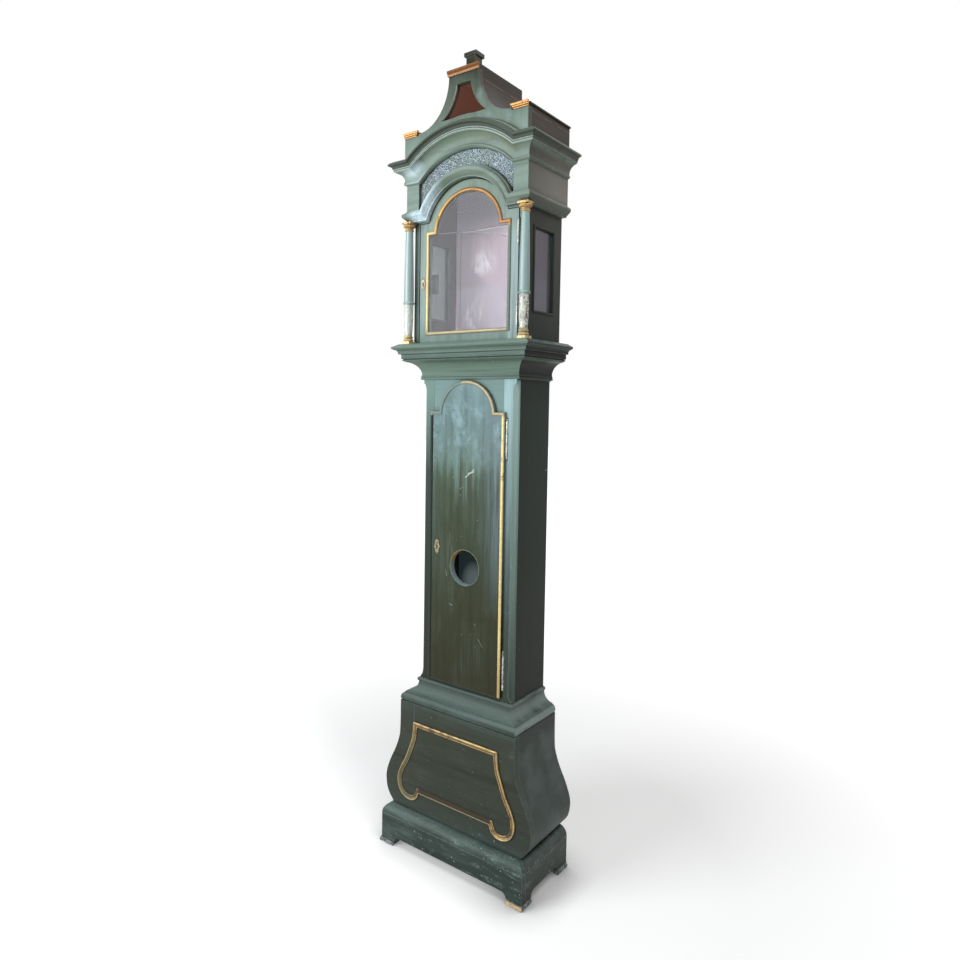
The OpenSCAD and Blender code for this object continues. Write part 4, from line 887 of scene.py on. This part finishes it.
def scroll_height(along, across):
    """Height, 0 to 1, of dense foliage. The place is first shifted by small waves, so that
    nothing repeats exactly. Three rows of spirals are staggered a half step apart; each is a
    ridge whose height is the cosine of its turn and its distance, and each winds the other way
    from its neighbours. Short curved veins fill what the spirals leave."""
    a = along + 0.0022 * np.sin(across * 410 + along * 95) + 0.0014 * np.sin(along * 233 + across * 120)
    b = across + 0.0016 * np.sin(along * 187) + 0.0010 * np.sin(along * 391 + across * 300)
    row = np.round(b / ROW_PITCH)
    shift = np.where(row % 2 == 0, 0.0, SPIRAL_PITCH / 2)
    cell = np.round((a - shift) / SPIRAL_PITCH)
    hand = np.where((cell + row) % 2 == 0, 1.0, -1.0)
    x, y = a - shift - cell * SPIRAL_PITCH, b - row * ROW_PITCH
    distance, turn = np.hypot(x, y), np.arctan2(y, x) * hand
    phase = 2.1 * np.sin(cell * 2.7 + row * 1.3)
    spiral = 0.5 + 0.5 * np.cos(turn + phase + distance * 2 * math.pi / RIDGE)
    inside = np.clip((SPIRAL_REACH + 0.0012 * np.sin(cell * 1.9 + row) - distance) / 0.0016, 0, 1)
    vein = 0.5 + 0.5 * np.cos((a * hand + b * 0.7) * 2 * math.pi / VEIN + 2.0 * np.sin(b * 520 + cell))
    uneven = np.sin(along * 811 + 3 * np.sin(across * 617)) * np.sin(across * 942 + 2 * np.sin(along * 533))
    tall = spiral ** 1.2 * inside + vein * (1 - inside)
    return np.clip(tall * 0.9 + 0.2 * uneven, 0, 1)


print("height in the middle of the panel:", round(float(scroll_height(np.zeros(1), np.zeros(1))[0]), 2))

# %% [markdown]
# A surface is a grid of points with faces between them. The panel is a closed slab: a front grid,
# a back grid and a wall round their rim, all as arrays. The other new pieces are made into
# objects by the same last function.

# %% Grids into pieces
def grid_faces(rows, columns):
    """The four corners of every cell of a grid of points, counted row by row."""
    i, j = np.meshgrid(np.arange(rows - 1), np.arange(columns - 1), indexing="ij")
    a = (i * columns + j).ravel()
    return np.stack([a, a + 1, a + columns + 1, a + columns], 1)


def closed_slab(front, back):
    """A closed shell between two grids of the same size: both grids, and a wall round the rim."""
    rows, columns, _ = front.shape
    n = rows * columns
    faces = grid_faces(rows, columns)
    index = np.arange(n).reshape(rows, columns)
    rim = np.concatenate([index[0, :-1], index[:-1, -1], index[-1, :0:-1], index[:0:-1, 0]])
    after = np.roll(rim, -1)
    wall = np.stack([rim, rim + n, after + n, after], 1)
    sides = np.concatenate([faces[:, ::-1], faces + n, wall[:, ::-1]])
    return np.concatenate([front.reshape(-1, 3), back.reshape(-1, 3)]), sides


def make_piece(name, points, faces, material, smooth=True):
    """An object at the origin whose mesh has these points and faces, in one finish."""
    mesh = bpy.data.meshes.new(name)
    mesh.from_pydata(points.tolist(), [], [list(face) for face in faces])
    mesh.materials.append(material)
    mesh.polygons.foreach_set("use_smooth", np.full(len(mesh.polygons), smooth))
    mesh.update()
    made = bpy.data.objects.new(name, mesh)
    bpy.context.scene.collection.objects.link(made)
    print(name, "has", len(mesh.polygons), "faces")
    return made


print("a grid of 3 by 3 points has", len(grid_faces(3, 3)), "faces")

# %% [markdown]
# The panel is bent round the middle of the arch, between two radii. Its ends are cut off upright
# at the sides of the hood and level at the foot of the arch, whichever comes first on each row.

# %% Carved panel between the arches
BACK = 0.132
ARCH_MIDDLE = 1.9237
FRET_INNER, FRET_OUTER, FRET_HALF, FRET_FOOT = 0.1863, 0.2317, 0.171, 2.0061
FRET_BACK, FRET_GROUND, FRET_DEPTH = 0.2022, 0.2078, 0.0040


def carved_grids(rows=64, columns=700):
    """The front and the back of the panel. A point's radius grows with its row and its turn with
    its column, and the carving stands out of the ground by its height, down to none at the rim."""
    across = np.linspace(0, 1, rows)[:, None]
    radius = FRET_INNER + (FRET_OUTER - FRET_INNER) * across
    cut_by_side = np.arccos(np.minimum(1, FRET_HALF / radius))
    cut_by_foot = np.arcsin((FRET_FOOT - ARCH_MIDDLE) / radius)
    start = np.maximum(cut_by_side, cut_by_foot)
    turn = start + (math.pi - 2 * start) * np.linspace(0, 1, columns)[None, :]
    middle = (FRET_INNER + FRET_OUTER) / 2
    rise = scroll_height((turn - math.pi / 2) * middle, radius - middle + 0 * turn)
    at_rim = np.minimum(np.minimum(across, 1 - across) * 45, 1)
    x, z = radius * np.cos(turn), ARCH_MIDDLE + radius * np.sin(turn)
    front = np.stack([x, BACK - FRET_GROUND - FRET_DEPTH * rise * at_rim, z], 2)
    return front, np.stack([x, np.full_like(x, BACK - FRET_BACK), z], 2)


def silvered():
    """Silver leaf on the high places, duller at the left, over a dark blue-grey ground."""
    f = Finish("silvered_carving")
    fine = f.noise(300, (1, 1, 1), 4, 0.6)
    top = f.y.over(BACK - FRET_GROUND - 0.0002, BACK - FRET_GROUND - FRET_DEPTH * 0.75)
    blue = f.noise(16, (1, 1, 1), 4, 0.6, 4.0).over(0.4, 0.6)
    bright = f.mix(seen(206, 222, 220), seen(226, 240, 254), blue)
    bright = f.mix(f.mix(seen(120, 132, 130), bright, 0.55), bright, f.x.over(-0.13, 0.06))
    colour = f.mix(seen(70, 86, 90), bright, top * fine.over(0.15, 0.45))
    return f.end(Base_Color=colour, Roughness=0.42, Metallic=0.1, Normal=f.bump(fine, 0.0003))


carving = make_piece("carved_fret", *closed_slab(*carved_grids()), silvered())
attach(carving, "hood")
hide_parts("fret_panel")

# %% [markdown]
# The pads under the feet have stood on wet floors. Their lower edges are broken away, and bare
# wood shows. Each pad is a closed shell: rings of points round a square, one ring for every
# height, drawn in by the moulded profile and by a few broken places.

# %% Shape of a worn pad
LEVELS = np.array([0, 0.6, 1.6, 3, 4.5, 6, 7.5, 9, 10.5, 12, 13]) / 1000
BREAK_TOP = 0.0105
# for each pad, the turns round it where it is broken; then how wide (radians) and how deep (m)
BROKEN = [np.array([0.3, 1.4, 2.6, 4.0, 5.2]), np.array([0.8, 2.0, 3.3, 4.4, 5.9]),
          np.array([0.1, 1.1, 2.9, 3.7, 5.5]), np.array([0.5, 1.8, 2.4, 4.8, 5.7])]
BREAK_WIDTHS, BREAK_DEPTHS = (0.14, 0.3, 0.1, 0.2, 0.12), (0.006, 0.003, 0.005, 0.004, 0.003)


def square_ring(on_each_side):
    """Points round a square from -1 to 1, evenly spaced."""
    edge = np.linspace(-1, 1, on_each_side, endpoint=False)
    one = np.ones(on_each_side)
    return np.concatenate([np.stack(p, 1) for p in ((edge, -one), (one, edge), (-edge, one), (-one, -edge))])


def drawn_in(level, around, which):
    """How far the pad's side lies inside the square: the profile at this height, a small wave, and
    at each broken place a notch that narrows to nothing sideways and upwards."""
    profile = np.interp(level * 1000, [0, 1.6, 4.5, 9, 13], [2.6, 0.9, 0.2, 1.9, 2.6]) / 1000
    inward = profile + 0.0004 * (1 + np.sin(around * 23 + which + level * 900))
    for at, wide, deep in zip(BROKEN[which], BREAK_WIDTHS, BREAK_DEPTHS):
        away = np.abs((around - at + math.pi) % (2 * math.pi) - math.pi)
        inward = inward + deep * np.clip(1 - away / wide, 0, 1) * np.clip(1 - level / BREAK_TOP, 0, 1)
    return inward


def worn_pad(across, deep, which):
    """One pad between two places across and two depths from the back: rings from the floor up, a
    wall of four-sided faces between them, and a fan of triangles that closes either end."""
    loop = square_ring(22)
    n = len(loop)
    half = np.array([across[1] - across[0], deep[1] - deep[0]]) / 2
    middle = np.array([across[0] + across[1], deep[0] + deep[1]]) / 2
    around = np.linspace(0, 2 * math.pi, n, endpoint=False)
    rings = []
    for level in LEVELS:
        x, y = (loop * (half - drawn_in(level, around, which)[:, None])).T
        rings.append(np.column_stack([middle[0] + x, BACK - middle[1] - y, np.full(n, level)]))
    ends = [[middle[0], BACK - middle[1], level] for level in (0, LEVELS[-1])]
    here, after = np.arange(n), (np.arange(n) + 1) % n
    walls = [np.stack([k + after, k + here, k + n + here, k + n + after], 1)
             for k in range(0, n * (len(LEVELS) - 1), n)]
    top, first_end = n * (len(LEVELS) - 1), n * len(LEVELS)
    bottom_fan = np.column_stack([here, after, np.full(n, first_end)])
    top_fan = np.column_stack([top + after, top + here, np.full(n, first_end + 1)])
    faces = [face for group in (*walls, bottom_fan, top_fan) for face in group.tolist()]
    return np.concatenate([*rings, ends]), faces


print("a pad is", LEVELS[-1] * 1000, "mm high and has", len(LEVELS), "rings")

# %% [markdown]
# The four pads become one piece, as in the packed model. The right front one shows bare wood.

# %% Worn foot pads
PAD_OUT, PAD, FRONT_DEPTH = 0.272, 0.058, 0.264
all_points, all_faces = [], []
for which, (x0, d0) in enumerate([(PAD_OUT - PAD, FRONT_DEPTH - PAD), (-PAD_OUT, FRONT_DEPTH - PAD),
                                  (PAD_OUT - PAD, 0), (-PAD_OUT, 0)]):
    points, faces = worn_pad((x0, x0 + PAD), (d0, d0 + PAD), which)
    first = sum(len(p) for p in all_points)
    all_points.append(points)
    all_faces += [[i + first for i in face] for face in faces]


def foot_marks(f):
    """The right front foot is bare wood below, the others keep grey paint with pale specks."""
    specks = f.noise(150, (1, 1, 1), 6, 0.7, 3.0)
    grey = f.mix(seen(78, 84, 84), seen(158, 164, 162), specks.over(0.44, 0.62))
    bare = f.x.over(0.20, 0.21) * f.y.over(-0.06, -0.07) * f.z.over(0.0125, 0.010)
    return [(seen(112, 84, 60), specks.over(0.54, 0.60) * 0.7),
            (seen(236, 220, 190), specks.over(0.42, 0.36) * 0.7),
            (grey, f.out_x.over(0.4, 0.7)),
            (grey, 1 - bare)]


foot_wood = plain_wood("bare_feet", seen(222, 196, 156), seen(170, 140, 104), (0.2, 1, 1), marks=foot_marks)
feet = make_piece("worn_feet", np.concatenate(all_points), all_faces, foot_wood, smooth=False)
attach(feet, "case")
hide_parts("foot_pads")

# %% [markdown]
# Old window glass lets most light straight through. A mix of a clear shader and a mirror-like
# one is quick and lets daylight into the hood, which a refracting shader would block. A little
# dust is mixed in. The side panes are dirtier, and a long crack runs across the door's glass.

# %% Glass
CRACK = [(-0.1035, 1.9286), (-0.036, 1.9251), (0.030, 1.9196), (0.094, 1.9057), (0.1185, 1.9012),
         (0.1388, 1.8907)]


def window_glass(name, tint, dusty, mirrored, left_tint=None, crack=()):
    """Clear glass with a film of dust. Panes on the left of x = 0 can have a tint of their own,
    and a crack is a list of places (x, z)."""
    f = Finish(name)
    clear = f.node("ShaderNodeBsdfTransparent", sockets={"Color": (*tint, 1)})
    if left_tint:
        on_left = f.node("ShaderNodeBsdfTransparent", sockets={"Color": (*left_tint, 1)})
        clear = f.blend(clear, on_left, f.x.over(0.01, -0.01))
    mirror = f.node("ShaderNodeBsdfGlossy", sockets={"Color": (1, 1, 1, 1), "Roughness": 0.03})
    dust = f.node("ShaderNodeBsdfDiffuse", sockets={"Color": (*seen(186, 186, 192), 1)})
    veil = f.noise(14, (1, 1, 0.6), 5, 0.6, 1.0, 0.8).over(0.35, 0.75) * dusty + dusty * 0.3
    for start, end in zip(crack[:-1], crack[1:]):
        veil = veil.most(line_distance(f, start, end).over(0.0014, 0.0006) * 0.55)
    return f.show(f.blend(f.blend(clear, mirror, mirrored), dust, veil))


wear(window_glass("old_glass", (0.93, 0.93, 0.95), 0.015, 0.010, crack=CRACK), "hood_door_glass")
wear(window_glass("dirty_glass", (0.42, 0.42, 0.44), 0.07, 0.03, (0.40, 0.42, 0.42)), "side_window_glass")

# %% [markdown]
# A white floor and a white sky. To the camera the floor is lifted to white wherever the light
# reaches it, so only the shadow stays visible, and further out it is plain white. Gloss and glass
# see the same white. To the light itself, the floor is pale and the sky is dim.

# %% Floor and sky
FLOOR_WIDTH = 40
PLAIN_WHITE_FROM, PLAIN_WHITE_AT = 0.8, 2.2
SKY_LIGHT = 0.24


def glowing(f, strength):
    """A shader that gives off white light."""
    return f.node("ShaderNodeEmission", sockets={"Color": (1, 1, 1, 1), "Strength": strength})


def pale_floor():
    """The lit floor plus a lift, larger in front of the case; a painted contact shadow, a dark shader
    mixed in where the case stands close to the floor and more so to the right; and plain white by
    its distance from the case."""
    f = Finish("pale_floor")
    lit = f.node("ShaderNodeBsdfDiffuse", sockets={"Color": (0.9, 0.9, 0.9, 1)})
    in_front = (0 - f.y - f.x * 0.5).over(0.12, 0.50)
    lift = f.blend(glowing(f, 0.30), glowing(f, 0.50), in_front)
    lifted = f.node("ShaderNodeAddShader", sockets={0: lit, 1: lift})
    dark = f.node("ShaderNodeBsdfDiffuse", sockets={"Color": (0.12, 0.12, 0.12, 1)})
    # painted contact shadow near the feet, stronger to the right
    contact = f.open_air(0.12, 8).over(0.97, 0.45) * (f.x.over(0.05, 0.27) * 0.45 + 0.3)
    distance = f.node("ShaderNodeVectorMath", {"operation": "LENGTH"}, {0: f.place}, out="Value")
    background = f.background_rays()
    near_case = f.blend(lit, f.blend(lifted, dark, contact), background)
    far = distance.over(PLAIN_WHITE_FROM, PLAIN_WHITE_AT) * background
    return f.show(f.blend(near_case, glowing(f, 1.2), far))


bpy.ops.mesh.primitive_plane_add(size=FLOOR_WIDTH)
floor = bpy.context.object
floor.name = "floor"
floor.data.materials.append(pale_floor())

bpy.context.scene.view_settings.view_transform = "Standard"
world = bpy.data.worlds.new("studio")
bpy.context.scene.world = world
sky = Network(world)
strength = sky.node("ShaderNodeMapRange", sockets={
    "Value": sky.background_rays(), "To Min": SKY_LIGHT, "To Max": 1.0})
light = sky.node("ShaderNodeBackground", sockets={"Color": (1, 1, 1, 1), "Strength": strength})
sky.node("ShaderNodeOutputWorld", sockets={"Surface": light})
print("floor:", FLOOR_WIDTH, "m wide; light of the sky:", SKY_LIGHT)

# %% [markdown]
# Two large soft lamps. The first stands to the front left, above the camera, so the front of the
# case shines softly and its right side stays dark. The second lights what looks up.

# %% Lamps
def soft_lamp(name, place, aim, size, watts, colour=(1, 1, 1)):
    """A rectangular lamp, width and height in metres, that looks from its place to its aim."""
    lamp = bpy.data.lights.new(name, "AREA")
    lamp.shape, lamp.size, lamp.size_y = "RECTANGLE", size[0], size[1]
    lamp.energy, lamp.color = watts, colour
    made = bpy.data.objects.new(name, lamp)
    made.location = place
    made.rotation_euler = (Vector(aim) - Vector(place)).to_track_quat("-Z", "Y").to_euler()
    bpy.context.scene.collection.objects.link(made)
    print(name, "gives", watts, "W")


soft_lamp("window_light", (-1.7, -3.0, 1.9), (0, 0, 1.4), (2.0, 2.2), 110, (0.94, 0.98, 1.0))
soft_lamp("top_light", (1.8, -0.6, 4.1), (0.1, 0, 0.6), (2.2, 2.2), 62)
